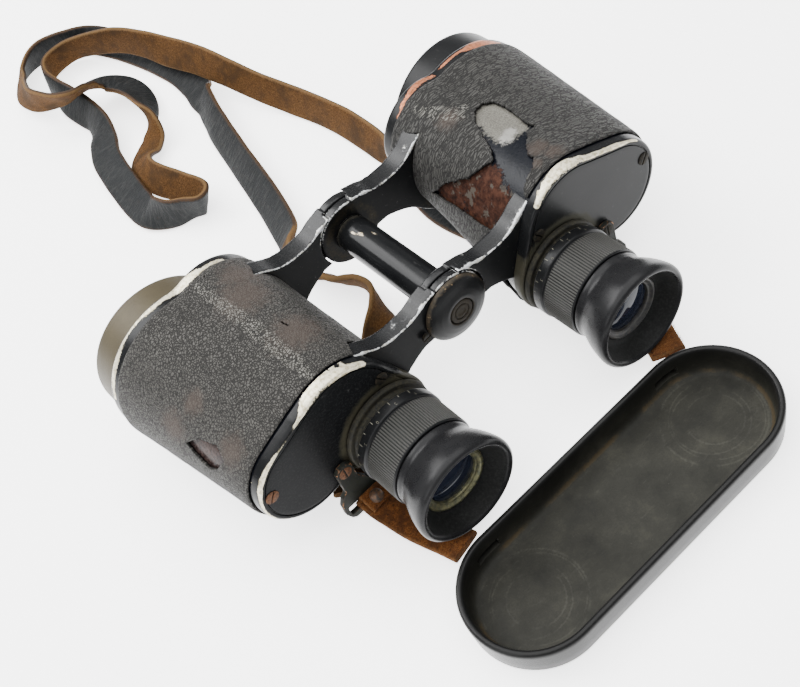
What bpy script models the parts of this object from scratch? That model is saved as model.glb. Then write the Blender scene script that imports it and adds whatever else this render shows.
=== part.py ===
"""A worn 6 x 30 Porro prism binocular lying on its belly, with its rain guard and neck strap.

Run with: blender --background --python part.py

World frame: metres, +Z up, the supporting surface at z = 0, +Y towards the objectives.
Instrument frame: an empty on the hinge axis, at (0, HINGE_Y, HINGE_Z). All pieces except the
guard and the straps are placed in it; their sizes below are in millimetres in that frame.
"""
import math

import bmesh
import bpy
from mathutils import Matrix, Vector

MM = 0.001
GAP = 0.3                     # clearance between neighbouring pieces

# Driving dimensions, millimetres
HINGE_Y, HINGE_Z = 29.0, 35.8  # hinge axis above the supporting surface
EYE_X, EYE_Z = 33.6, -13.2     # eyepiece axis, half of the 67 mm eye distance
OBJ_X, OBJ_Z = 59.3, -10.0     # objective axis
HALF_LEFT, HALF_RIGHT = -1, 1
RIGHT_FOCUS_IN = 1.3           # the right eyepiece is screwed in further than the left

# Housing: unions of circles (x, z, radius) at the two ends, lofted along Y
REAR_LOBES = ((58.8, -5.8, 15.2), (53.4, -4.0, 15.8), (48.0, -2.2, 16.4), (42.4, -0.4, 17.0),
              (38.0, -6.8, 15.9), (33.6, -13.2, 14.8))
FRONT_LOBES = ((57.5, -10.4, 25.4), (42.4, -0.4, 16.1))
REAR_HUB, FRONT_HUB = (45.0, -7.0), (50.0, -8.0)
REAR_Y, FRONT_Y = -28.2, 35.4
HOUSING_Y = (-24.3, 31.2)
HOUSING_WALL = 2.2
SECTION_POINTS = 40
LEATHER_Y = (-24.1, 31.0)
LEATHER_THICK = 0.7
REAR_COVER_Y = (REAR_Y, -24.6)
FRONT_COVER_Y = (31.5, FRONT_Y)
COVER_PLATE = 1.8
COVER_WALL = 2.0

# Hinge
ARM_TOP = ((5.35, 10.2), (8.6, 8.9), (12.2, 7.4), (16.3, 6.9), (20.4, 7.0), (24.5, 8.1), (28.6, 10.7),
           (31.5, 12.3), (36.0, 11.0))
ARM_BOTTOM = ((36.0, -17.0), (29.5, -17.5), (25.6, -14.6), (22.6, -11.0), (19.6, -8.6), (16.6, -7.0),
              (13.3, -5.6), (9.9, -5.2), (5.35, -5.8))
FRONT_ARM_Y = (20.8, 27.1)
REAR_ARM_Y = (-24.2, -18.7)
KNUCKLE_R, KNUCKLE_CLEAR_R = 10.5, 10.9
FACE_STEP = 0.07              # a knuckle's faces stand this far back from its arm's faces
AXLE_R, BORE_R, TUBE_R = 3.3, 3.6, 5.6
DISC_R = 10.2
STOP_SCREW = (-11.6, -1.2)

# Optics
OBJECTIVE_RING_R, BARREL_R, BARREL_BORE = 22.3, 20.8, 18.0
BARREL_END, RING_END = 43.0, 46.7
SHELF_Y = (-2.0, 0.0)
PRISM_HALF_LENGTH, PRISM_HALF_WIDTH, PRISM_HEIGHT = 13.0, 5.6, 12.4

# Rain guard and straps, millimetres in the world frame
GUARD_CENTRE = (-5.0, -56.1)
GUARD_SIZE, GUARD_HEIGHT = (105.5, 39.0), 10.8
GUARD_WALL, GUARD_FLOOR = 2.4, 2.0
GUARD_SLOTS_X = (-38.5, 30.0)
STRAP_WIDTH, STRAP_THICK = 12.0, 2.0
LUG_X = 50.0
SLOT_Z = 5.4

COLLECTION = bpy.data.collections.new("binoculars")
CUTTERS = bpy.data.collections.new("cutters")


# ---------------------------------------------------------------- helpers

def clear_scene():
    for item in list(bpy.data.objects):
        bpy.data.objects.remove(item)
    bpy.context.scene.collection.children.link(COLLECTION)
    bpy.context.scene.collection.children.link(CUTTERS)


def material(name, colour, roughness, metallic=0.0):
    mat = bpy.data.materials.get(name)
    if mat is None:
        mat = bpy.data.materials.new(name)
        mat.use_nodes = True
        shader = mat.node_tree.nodes["Principled BSDF"]
        shader.inputs["Base Color"].default_value = (*colour, 1.0)
        shader.inputs["Roughness"].default_value = roughness
        shader.inputs["Metallic"].default_value = metallic
        mat.diffuse_color = (*colour, 1.0)
    return mat


def black_paint():
    return material("black_paint", (0.012, 0.012, 0.013), 0.4)


def leather():
    return material("leatherette", (0.045, 0.040, 0.037), 0.6)


def steel():
    return material("steel", (0.35, 0.35, 0.36), 0.35, 1.0)


def brass():
    return material("blackened_brass", (0.06, 0.05, 0.035), 0.45, 0.6)


def bakelite():
    return material("bakelite", (0.012, 0.012, 0.012), 0.25)


def glass():
    return material("glass", (0.75, 0.8, 0.85), 0.05)


def suede():
    return material("suede", (0.21, 0.085, 0.025), 0.9)


def finish(obj, name, mat, parent, cutter=False):
    obj.name = name
    obj.data.name = name
    obj.data.materials.clear()
    obj.data.materials.append(mat)
    obj.parent = parent
    for old in list(obj.users_collection):
        old.objects.unlink(obj)
    (CUTTERS if cutter else COLLECTION).objects.link(obj)
    if cutter:
        obj.hide_render = True
        obj.display_type = "WIRE"
    return obj


def mesh_object(name, vertices, faces, mat, parent, cutter=False):
    mesh = bpy.data.meshes.new(name)
    mesh.from_pydata([Vector(v) * MM for v in vertices], [], faces)
    work = bmesh.new()
    work.from_mesh(mesh)
    bmesh.ops.triangulate(work, faces=work.faces)
    bmesh.ops.recalc_face_normals(work, faces=work.faces)
    work.to_mesh(mesh)
    work.free()
    obj = bpy.data.objects.new(name, mesh)
    bpy.context.scene.collection.objects.link(obj)
    return finish(obj, name, mat, parent, cutter)


def loft(name, rings, mat, parent, cutter=False, tunnel=False):
    """Skin equal-length closed rings; a tunnel joins the last ring to the first, else both are capped."""
    count = len(rings[0])
    vertices = [point for ring in rings for point in ring]
    faces = []
    joints = len(rings) if tunnel else len(rings) - 1
    for k in range(joints):
        a, b = k * count, ((k + 1) % len(rings)) * count
        for i in range(count):
            j = (i + 1) % count
            faces.append((a + i, a + j, b + j, b + i))
    if not tunnel:
        faces.append(tuple(range(count)))
        faces.append(tuple(range((len(rings) - 1) * count, len(rings) * count)))
    return mesh_object(name, vertices, faces, mat, parent, cutter)


def screwed(name, profile, steps):
    """Turn a profile of (radius, height) about local Z; one that leaves the axis is closed into a ring."""
    mesh = bpy.data.meshes.new(name)
    edges = [(i, i + 1) for i in range(len(profile) - 1)]
    if profile[0][0] > 0:
        edges.append((len(profile) - 1, 0))
    mesh.from_pydata([(r * MM, 0.0, z * MM) for r, z in profile], edges, [])
    obj = bpy.data.objects.new(name, mesh)
    bpy.context.scene.collection.objects.link(obj)
    screw = obj.modifiers.new("turn", "SCREW")
    screw.steps = steps
    screw.render_steps = steps
    screw.use_merge_vertices = True
    screw.merge_threshold = 0.00001
    screw.use_smooth_shade = True
    return obj


def turned(name, profile, centre, mat, parent, steps=20, cutter=False):
    """Turn a profile of (radius, y) about an axis along Y; its outer side runs towards +Y."""
    obj = screwed(name, [(r, -y) for r, y in profile], steps)
    obj.rotation_euler = (math.pi / 2, 0.0, 0.0)
    obj.location = (centre[0] * MM, 0.0, centre[1] * MM)
    return finish(obj, name, mat, parent, cutter)


def cylinder(name, radius, y_range, centre, mat, parent, steps=20, cutter=False):
    """A plain pin, bore or disc along Y."""
    return turned(name, [(0, y_range[0]), (radius, y_range[0]), (radius, y_range[1]), (0, y_range[1])],
                  centre, mat, parent, steps, cutter)


def outline_object(name, outlines, half_depth):
    """A filled flat curve through outlines of (x, y), thickened both ways; later outlines are holes."""
    curve = bpy.data.curves.new(name, "CURVE")
    curve.dimensions = "2D"
    curve.fill_mode = "BOTH"
    curve.extrude = half_depth * MM
    for outline in outlines:
        spline = curve.splines.new("POLY")
        spline.points.add(len(outline) - 1)
        spline.use_cyclic_u = True
        for point, (x, y) in zip(spline.points, outline):
            point.co = (x * MM, y * MM, 0.0, 1.0)
    obj = bpy.data.objects.new(name, curve)
    bpy.context.scene.collection.objects.link(obj)
    return obj


def plate(name, outlines, y_range, mat, parent, cutter=False):
    """Extrude flat outlines of (x, z) between two y values."""
    obj = outline_object(name, outlines, (y_range[1] - y_range[0]) / 2)
    obj.rotation_euler = (math.pi / 2, 0.0, 0.0)
    obj.location = (0.0, (y_range[0] + y_range[1]) / 2 * MM, 0.0)
    return to_mesh(obj, name, mat, parent, cutter)


def to_mesh(curve_object, name, mat, parent, cutter=False):
    bpy.context.view_layer.update()
    evaluated = curve_object.evaluated_get(bpy.context.evaluated_depsgraph_get())
    mesh = bpy.data.meshes.new_from_object(evaluated)
    work = bmesh.new()
    work.from_mesh(mesh)
    bmesh.ops.remove_doubles(work, verts=work.verts, dist=0.00001)
    bmesh.ops.recalc_face_normals(work, faces=work.faces)
    work.to_mesh(mesh)
    work.free()
    obj = bpy.data.objects.new(name, mesh)
    obj.matrix_world = curve_object.matrix_world.copy()
    bpy.data.objects.remove(curve_object)
    bpy.context.scene.collection.objects.link(obj)
    return finish(obj, name, mat, parent, cutter)


def boolean(obj, other, operation):
    modifier = obj.modifiers.new(operation.lower(), "BOOLEAN")
    modifier.operation = operation
    modifier.solver = "EXACT"
    modifier.object = other


def mirrored(points, side):
    return [(side * x, z) for x, z in points]


# ---------------------------------------------------------------- housing sections

def lobe_reach(lobes, hub, angle):
    """Distance from the hub to the far side of the lobes, along one direction."""
    dx, dz = math.cos(angle), math.sin(angle)
    reach = 0.0
    for cx, cz, radius in lobes:
        ox, oz = hub[0] - cx, hub[1] - cz
        along = ox * dx + oz * dz
        inside = along * along - (ox * ox + oz * oz - radius * radius)
        if inside > 0:
            reach = max(reach, -along + math.sqrt(inside))
    return reach


def smooth_reach(lobes, hub, index, spread=0.09):
    """The reach at one of the section's directions, averaged a little so that valleys are rounded."""
    angle = 2 * math.pi * index / SECTION_POINTS
    samples = (-1.0, -0.5, 0.0, 0.5, 1.0)
    return sum(lobe_reach(lobes, hub, angle + k * spread) for k in samples) / len(samples)


def section(y, inset=0.0):
    """One housing outline at y as (x, z) points for the right half, moved inwards by inset."""
    t = (y - REAR_Y) / (FRONT_Y - REAR_Y)
    hub_x = REAR_HUB[0] + t * (FRONT_HUB[0] - REAR_HUB[0])
    hub_z = REAR_HUB[1] + t * (FRONT_HUB[1] - REAR_HUB[1])
    outline = []
    for index in range(SECTION_POINTS):
        angle = 2 * math.pi * index / SECTION_POINTS
        rear = smooth_reach(REAR_LOBES, REAR_HUB, index)
        front = smooth_reach(FRONT_LOBES, FRONT_HUB, index)
        reach = rear + t * (front - rear) - inset
        outline.append((hub_x + reach * math.cos(angle), hub_z + reach * math.sin(angle)))
    return outline


def section_ring(y, side, inset=0.0):
    return [(side * x, y, z) for x, z in section(y, inset)]


# ---------------------------------------------------------------- barrel halves

def arm_tools(side, label, parent):
    """The web of each hinge arm and the clearance for the other half's knuckle."""
    tools = []
    outline = mirrored(ARM_TOP + ARM_BOTTOM, side)
    for end, (y0, y1), near_half in (("front", FRONT_ARM_Y, HALF_RIGHT), ("rear", REAR_ARM_Y, HALF_LEFT)):
        middle = (y0 + y1) / 2
        near = (y0 + FACE_STEP, middle - GAP / 2 - FACE_STEP)
        far = (middle + GAP / 2 + FACE_STEP, y1 - FACE_STEP)
        own, other = (near, far) if side == near_half else (far, near)
        web = plate(f"{label}_{end}_arm_tool", [outline], (y0, y1), black_paint(), parent, True)
        free = (y0 - 1.0, middle + GAP / 2) if other == near else (middle - GAP / 2, y1 + 1.0)
        clear = cylinder(f"{label}_{end}_clear_tool", KNUCKLE_CLEAR_R, free, (0, 0), black_paint(), parent,
                         28, True)
        knuckle = cylinder(f"{label}_{end}_knuckle_tool", KNUCKLE_R, own, (0, 0), black_paint(), parent,
                           28, True)
        tools.append((web, clear, knuckle))
    return tools


def make_housing(side, label, parent):
    """The prism housing: a thin casting, open at both ends, with its two hinge arms."""
    y0, y1 = HOUSING_Y
    middle = (y0 + y1) / 2
    stations = (y0, middle, y1)
    housing = loft(f"{label}_housing", [section_ring(y, side) for y in stations], black_paint(), parent)
    cavity = loft(f"{label}_cavity_tool",
                  [section_ring(y, side, HOUSING_WALL) for y in (y0 - 2.0, middle, y1 + 2.0)],
                  black_paint(), parent, True)
    bore = cylinder(f"{label}_bore_tool", BORE_R, (y0 - 2.0, y1 + 2.0), (0, 0), black_paint(), parent, 16, True)
    for web, clear, knuckle in arm_tools(side, label, parent):
        boolean(housing, web, "UNION")
        boolean(housing, clear, "DIFFERENCE")
        boolean(housing, knuckle, "UNION")
    boolean(housing, bore, "DIFFERENCE")
    boolean(housing, cavity, "DIFFERENCE")


def make_leather(side, label, parent):
    """The covering around the housing, notched where the hinge arms leave it."""
    y0, y1 = LEATHER_Y
    stations = (y0, sum(HOUSING_Y) / 2, y1)
    rings = [section_ring(y, side, -(GAP + LEATHER_THICK)) for y in stations]
    rings += [section_ring(y, side, -GAP) for y in reversed(stations)]
    skin = loft(f"{label}_leather", rings, leather(), parent, tunnel=True)
    notch = [(0.0, 24.0), (30.6, 24.0), (34.0, 10.0), (31.0, -22.0), (0.0, -22.0)]
    for end, (a, b) in (("front", FRONT_ARM_Y), ("rear", (REAR_ARM_Y[0] - 2.0, REAR_ARM_Y[1]))):
        tool = plate(f"{label}_{end}_notch_tool", [mirrored(notch, side)], (a - GAP, b + GAP),
                     leather(), parent, True)
        boolean(skin, tool, "DIFFERENCE")


def cover_screws(side):
    """Centres of the rear cover's three screws: outer end, below and beside the eyepiece."""
    return [(side * 70.2, -3.1), (side * 51.0, -14.9), (side * 29.4, 3.2)]


def make_rear_cover(side, label, parent):
    """The eyepiece end cap: a plate with a short rim, the eyepiece hole and three screw holes."""
    y0, y1 = REAR_COVER_Y
    cover = loft(f"{label}_rear_cover", [section_ring(y, side) for y in (y0, y1)], black_paint(), parent)
    pocket = loft(f"{label}_cover_pocket_tool",
                  [section_ring(y, side, COVER_WALL) for y in (y0 + COVER_PLATE, y1 + 2.0)],
                  black_paint(), parent, True)
    hole = cylinder(f"{label}_eyepiece_hole_tool", 11.3, (y0 - 2.0, y1 + 3.0), (side * EYE_X, EYE_Z),
                    black_paint(), parent, 28, True)
    boolean(cover, pocket, "DIFFERENCE")
    boolean(cover, hole, "DIFFERENCE")
    for number, centre in enumerate(cover_screws(side), 1):
        shank = cylinder(f"{label}_cover_hole_{number}_tool", 1.2, (y0 - 2.0, y1 + 3.0), centre,
                         black_paint(), parent, 12, True)
        boolean(cover, shank, "DIFFERENCE")
        head = [(0, y0 - 1.0), (1.5, y0 - 1.0), (2.1, y0 - GAP), (0.9, y0 - GAP), (0.9, y0 + 3.2), (0, y0 + 3.2)]
        turned(f"{label}_cover_screw_{number}", head, centre, steel(), parent, 12)


def make_front_cover(side, label, parent):
    """The objective end cap with the short barrel that carries the objective cell."""
    y0, y1 = FRONT_COVER_Y
    axis = (side * OBJ_X, OBJ_Z)
    cover = loft(f"{label}_front_cover", [section_ring(y, side) for y in (y0, y1)], black_paint(), parent)
    barrel = cylinder(f"{label}_barrel_tool", BARREL_R, (y0 + 0.5, BARREL_END), axis, black_paint(), parent,
                      32, True)
    bore = cylinder(f"{label}_barrel_bore_tool", BARREL_BORE, (y0 - 2.0, BARREL_END + 2.0), axis,
                    black_paint(), parent, 32, True)
    boolean(cover, barrel, "UNION")
    boolean(cover, bore, "DIFFERENCE")


def make_objective(side, label, parent):
    """The cell, its cemented pair of lenses and the outer ring."""
    axis = (side * OBJ_X, OBJ_Z)
    cell = [(17.7, 35.9), (17.7, 44.0), (14.2, 44.0), (14.2, 42.6), (15.5, 42.6), (15.5, 35.9)]
    turned(f"{label}_objective_cell", cell, axis, brass(), parent, 24)
    crown = [(0, 37.8), (7.5, 38.5), (15.2, 40.4), (15.2, 41.2), (7.5, 41.9), (0, 42.1)]
    turned(f"{label}_objective_crown_lens", crown, axis, glass(), parent, 18)
    flint = [(0, 36.2), (15.2, 36.4), (15.2, 40.1), (7.5, 38.2), (0, 37.5)]
    turned(f"{label}_objective_flint_lens", flint, axis, glass(), parent, 18)
    ring = [(22.0, 35.8), (OBJECTIVE_RING_R, 36.6), (OBJECTIVE_RING_R, 45.7), (21.4, RING_END),
            (19.4, RING_END), (18.1, 44.4), (18.1, 43.4), (21.1, 43.4), (21.1, 35.8)]
    turned(f"{label}_objective_ring", ring, axis, black_paint(), parent, 28)


def prism_path():
    """Where the light crosses the shelf: objective axis, the turn between the prisms, eyepiece axis."""
    start, end = Vector((OBJ_X, OBJ_Z)), Vector((EYE_X, EYE_Z))
    half = (end - start) / 2
    turn = start + half + Vector((-half.y, half.x)) * -1.0
    return start, turn, end


def make_prisms(side, label, parent):
    """Two right-angled prisms on either side of the shelf, each held by a spring clip."""
    start, turn, end = prism_path()
    shelf = plate(f"{label}_prism_shelf", [mirrored(section((SHELF_Y[0] + SHELF_Y[1]) / 2, 3.0), side)],
                  SHELF_Y, brass(), parent)
    for number, point in enumerate((start, turn, end), 1):
        hole = cylinder(f"{label}_shelf_hole_{number}_tool", 5.5, (SHELF_Y[0] - 1.0, SHELF_Y[1] + 1.0),
                        (side * point.x, point.y), brass(), parent, 20, True)
        boolean(shelf, hole, "DIFFERENCE")
    for end_name, direction, a, b, seat in (("rear", -1, start, turn, SHELF_Y[0] - GAP),
                                            ("front", 1, turn, end, SHELF_Y[1] + GAP)):
        middle = (a + b) / 2
        along = (b - a).normalized()
        length, height = PRISM_HALF_LENGTH, PRISM_HEIGHT
        wedge = [(-length, 0.0), (length, 0.0), (length, 1.2), (1.4, height), (-1.4, height), (-length, 1.2)]
        wedge_object(f"{label}_{end_name}_prism", wedge, PRISM_HALF_WIDTH, middle, along, seat, direction,
                     side, glass(), parent)
        lift, thick = GAP, 0.6
        outer = [(-length - 0.4, 1.2), (-length - 0.4, 2.4 + thick), (-1.6, height + lift + thick),
                 (1.6, height + lift + thick), (length + 0.4, 2.4 + thick), (length + 0.4, 1.2)]
        inner = [(length + 0.4 - thick, 1.6), (length - 0.4, 2.2 + lift), (1.5, height + lift),
                 (-1.5, height + lift), (-length + 0.4, 2.2 + lift), (-length - 0.4 + thick, 1.6)]
        wedge_object(f"{label}_{end_name}_prism_clip", outer + inner, 2.5, middle, along, seat, direction,
                     side, steel(), parent)


def wedge_object(name, outline, half_width, middle, along, seat, direction, side, mat, parent):
    """Extrude an outline that stands on the shelf: its x runs along the light's step, its y off the shelf."""
    obj = outline_object(name, [outline], half_width)
    x_axis = Vector((side * along.x, 0.0, along.y))
    y_axis = Vector((0.0, direction, 0.0))
    z_axis = x_axis.cross(y_axis)
    rotation = Matrix((x_axis, y_axis, z_axis)).transposed().to_4x4()
    obj.matrix_world = Matrix.Translation(Vector((side * middle.x, seat, middle.y)) * MM) @ rotation
    to_mesh(obj, name, mat, parent)


def make_eyepiece(side, label, parent):
    """Fixed base, sliding ocular with two lenses, turning focus ring and flared eyecup."""
    axis = (side * EYE_X, EYE_Z)
    base = [(12.0, -38.0), (12.0, -30.3), (14.2, -30.3), (14.2, REAR_Y - GAP), (10.9, REAR_Y - GAP),
            (10.9, -23.0), (10.2, -23.0), (10.2, -38.0)]
    turned(f"{label}_eyepiece_base", base, axis, brass(), parent, 24)
    slide = RIGHT_FOCUS_IN if side == HALF_RIGHT else 0.0

    def shifted(profile):
        return [(r, y + slide) for r, y in profile]

    tube = [(7.6, -55.4), (9.8, -55.4), (9.8, -26.0), (8.5, -26.0), (8.5, -54.6), (7.6, -54.6)]
    turned(f"{label}_ocular_tube", shifted(tube), axis, brass(), parent, 24)
    field = [(0, -33.6), (8.2, -32.2), (8.2, -30.6), (0, -29.6)]
    turned(f"{label}_field_lens", shifted(field), axis, glass(), parent, 16)
    eye = [(0, -54.3), (8.2, -54.3), (8.2, -52.6), (4.5, -50.8), (0, -50.2)]
    turned(f"{label}_eye_lens", shifted(eye), axis, glass(), parent, 16)
    ring = [(13.2, -47.8), (13.5, -47.4), (13.5, -37.0), (13.1, -36.8), (13.9, -36.4), (13.9, -33.4),
            (13.6, -33.0), (12.4, -33.0), (12.4, -41.2), (10.2, -41.2), (10.2, -47.8)]
    turned(f"{label}_focus_ring", shifted(ring), axis, black_paint(), parent, 28)
    cup = [(14.4, -61.6), (15.3, -61.4), (15.9, -60.3), (15.9, -58.6), (15.3, -56.0), (14.3, -53.6),
           (13.3, -51.4), (12.9, -50.0), (12.9, -48.1), (10.3, -48.1), (10.3, -55.3), (10.6, -56.0),
           (13.9, -60.9)]
    turned(f"{label}_eyecup", shifted(cup), axis, bakelite(), parent, 28)


def make_lug(side, label, parent):
    """A tee-shaped bracket on the rear cover, with the slot that the straps pass through."""
    x, z0 = side * LUG_X, -HINGE_Z
    outline = [(-6.8, 1.2), (4.4, 1.2), (5.8, 2.4), (6.8, 5.2), (6.6, 9.6), (5.4, 12.2), (3.7, 13.8),
               (3.7, 22.2), (2.2, 23.6), (-0.4, 23.6), (-1.7, 22.4), (-1.7, 16.6), (-3.8, 12.8), (-6.4, 10.8)]
    slot = [(-5.4, SLOT_Z - 1.8), (5.4, SLOT_Z - 1.8), (5.4, SLOT_Z + 1.8), (-5.4, SLOT_Z + 1.8)]
    place = [[(x + side * px, z0 + pz) for px, pz in shape] for shape in (outline, slot)]
    lug = plate(f"{label}_strap_lug", place, (REAR_Y - 1.9, REAR_Y - GAP), black_paint(), parent)
    screw = cover_screws(side)[1]
    tool = cylinder(f"{label}_lug_hole_tool", 2.25, (REAR_Y - 3.0, REAR_Y + 1.0), screw, black_paint(),
                    parent, 16, True)
    boolean(lug, tool, "DIFFERENCE")


def make_hinge(parent):
    """The axle through all four knuckles, the tube between them, the domed disc and the front cap."""
    start, end = REAR_ARM_Y[0], FRONT_ARM_Y[1]
    tube = [(BORE_R, REAR_ARM_Y[1] + GAP), (TUBE_R, REAR_ARM_Y[1] + GAP), (TUBE_R, FRONT_ARM_Y[0] - GAP),
            (BORE_R, FRONT_ARM_Y[0] - GAP)]
    turned("hinge_tube", tube, (0, 0), black_paint(), parent, 20)
    cylinder("hinge_axle", AXLE_R, (start - 1.0, end + 1.0), (0, 0), steel(), parent, 16)
    disc = [(4.2, start - 3.4), (7.0, start - 3.0), (9.2, start - 2.1), (DISC_R, start - 1.1),
            (DISC_R, start - GAP), (BORE_R, start - GAP), (BORE_R, start - 1.9), (4.2, start - 1.9)]
    turned("hinge_disc", disc, (0, 0), black_paint(), parent, 24)
    nut = [(0, start - 3.7), (3.4, start - 3.6), (3.9, start - 3.2), (3.9, start - 2.2), (3.0, start - 2.2),
           (3.0, start - 1.3), (0, start - 1.3)]
    turned("hinge_nut", nut, (0, 0), brass(), parent, 24)
    cap = [(0, end + 1.3), (3.4, end + 1.3), (3.4, end + GAP), (8.6, end + GAP), (8.6, end + 1.2),
           (7.4, end + 2.2), (4.0, end + 2.8), (0, end + 3.0)]
    turned("hinge_front_cap", cap, (0, 0), black_paint(), parent, 24)
    stop = [(0, start - 1.3), (1.1, start - 1.3), (1.4, start - 0.9), (1.4, start - GAP), (0, start - GAP)]
    turned("hinge_stop_screw", stop, STOP_SCREW, steel(), parent, 12)


# ---------------------------------------------------------------- rain guard and straps

def stadium(length, width, steps=10):
    radius = width / 2
    run = length / 2 - radius
    points = []
    for k in range(2 * steps + 2):
        turn = 0 if k <= steps else 1
        angle = -math.pi / 2 + math.pi * (k - turn) / steps
        centre = run if turn == 0 else -run
        points.append((centre + radius * math.cos(angle), radius * math.sin(angle)))
    return points


def make_guard():
    """The moulded tray that covers both eyepieces in the rain, open side up."""
    cx, cy = GUARD_CENTRE
    length, width = GUARD_SIZE

    def ring(inset, z):
        return [(cx + x, cy + y, z) for x, y in stadium(length - 2 * inset, width - 2 * inset)]

    height, wall = GUARD_HEIGHT, GUARD_WALL
    outer = loft("rain_guard", list(reversed([ring(0.7, height), ring(0.0, height - 0.8), ring(0.5, 1.2),
                                              ring(1.6, 0.0)])), bakelite(), None)
    tray = loft("guard_tray_tool", [ring(wall + 2.4, GUARD_FLOOR), ring(wall + 0.6, GUARD_FLOOR + 1.4),
                                    ring(wall, height - 0.5), ring(wall - 0.9, height + 0.4)],
                bakelite(), None, True)
    boolean(outer, tray, "DIFFERENCE")
    for number, x in enumerate(GUARD_SLOTS_X, 1):
        y = cy + width / 2
        slot = box_tool(f"guard_slot_{number}_tool", (x, y - 1.4, SLOT_Z), (8.0, 8.0, 2.6), bakelite())
        boolean(outer, slot, "DIFFERENCE")


def box_tool(name, centre, size, mat):
    bpy.ops.mesh.primitive_cube_add(size=1.0)
    tool = bpy.context.active_object
    tool.data.transform(Matrix.Diagonal((size[0] * MM, size[1] * MM, size[2] * MM, 1.0)))
    tool.location = Vector(centre) * MM
    return finish(tool, name, mat, None, True)


def smooth_route(points, per_span):
    """Points of a curve through all route points (x, y, z, lean), Catmull-Rom."""
    route = [Vector(p) for p in points]
    route = [route[0] * 2 - route[1]] + route + [route[-1] * 2 - route[-2]]
    result = []
    for k in range(1, len(route) - 2):
        p0, p1, p2, p3 = route[k - 1:k + 3]
        for step in range(per_span):
            t = step / per_span
            result.append(0.5 * (2 * p1 + (p2 - p0) * t + (2 * p0 - 5 * p1 + 4 * p2 - p3) * t * t
                                 + (3 * p1 - p0 - 3 * p2 + p3) * t * t * t))
    result.append(route[-2])
    return result


def ribbon(name, points, width, thick, mat, per_span=1):
    """A flat strap along a route; lean turns its width from lying flat (0) to standing on edge (90)."""
    route = smooth_route(points, per_span)
    rings = []
    for k, point in enumerate(route):
        ahead = route[min(k + 1, len(route) - 1)].to_3d() - route[max(k - 1, 0)].to_3d()
        side = Vector((0.0, 0.0, 1.0)).cross(ahead.normalized()).normalized()
        up = ahead.normalized().cross(side)
        lean = math.radians(point[3])
        across = side * math.cos(lean) + up * math.sin(lean)
        face = ahead.normalized().cross(across)
        centre = point.to_3d()
        lowest = abs(math.sin(lean)) * width / 2 + abs(math.cos(lean)) * thick / 2
        centre.z = max(centre.z, lowest + GAP)
        rings.append([centre + across * (sx * width / 2) + face * (sf * thick / 2)
                      for sx, sf in ((-1, -1), (1, -1), (1, 1), (-1, 1))])
    return loft(name, rings, mat, None)


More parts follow.
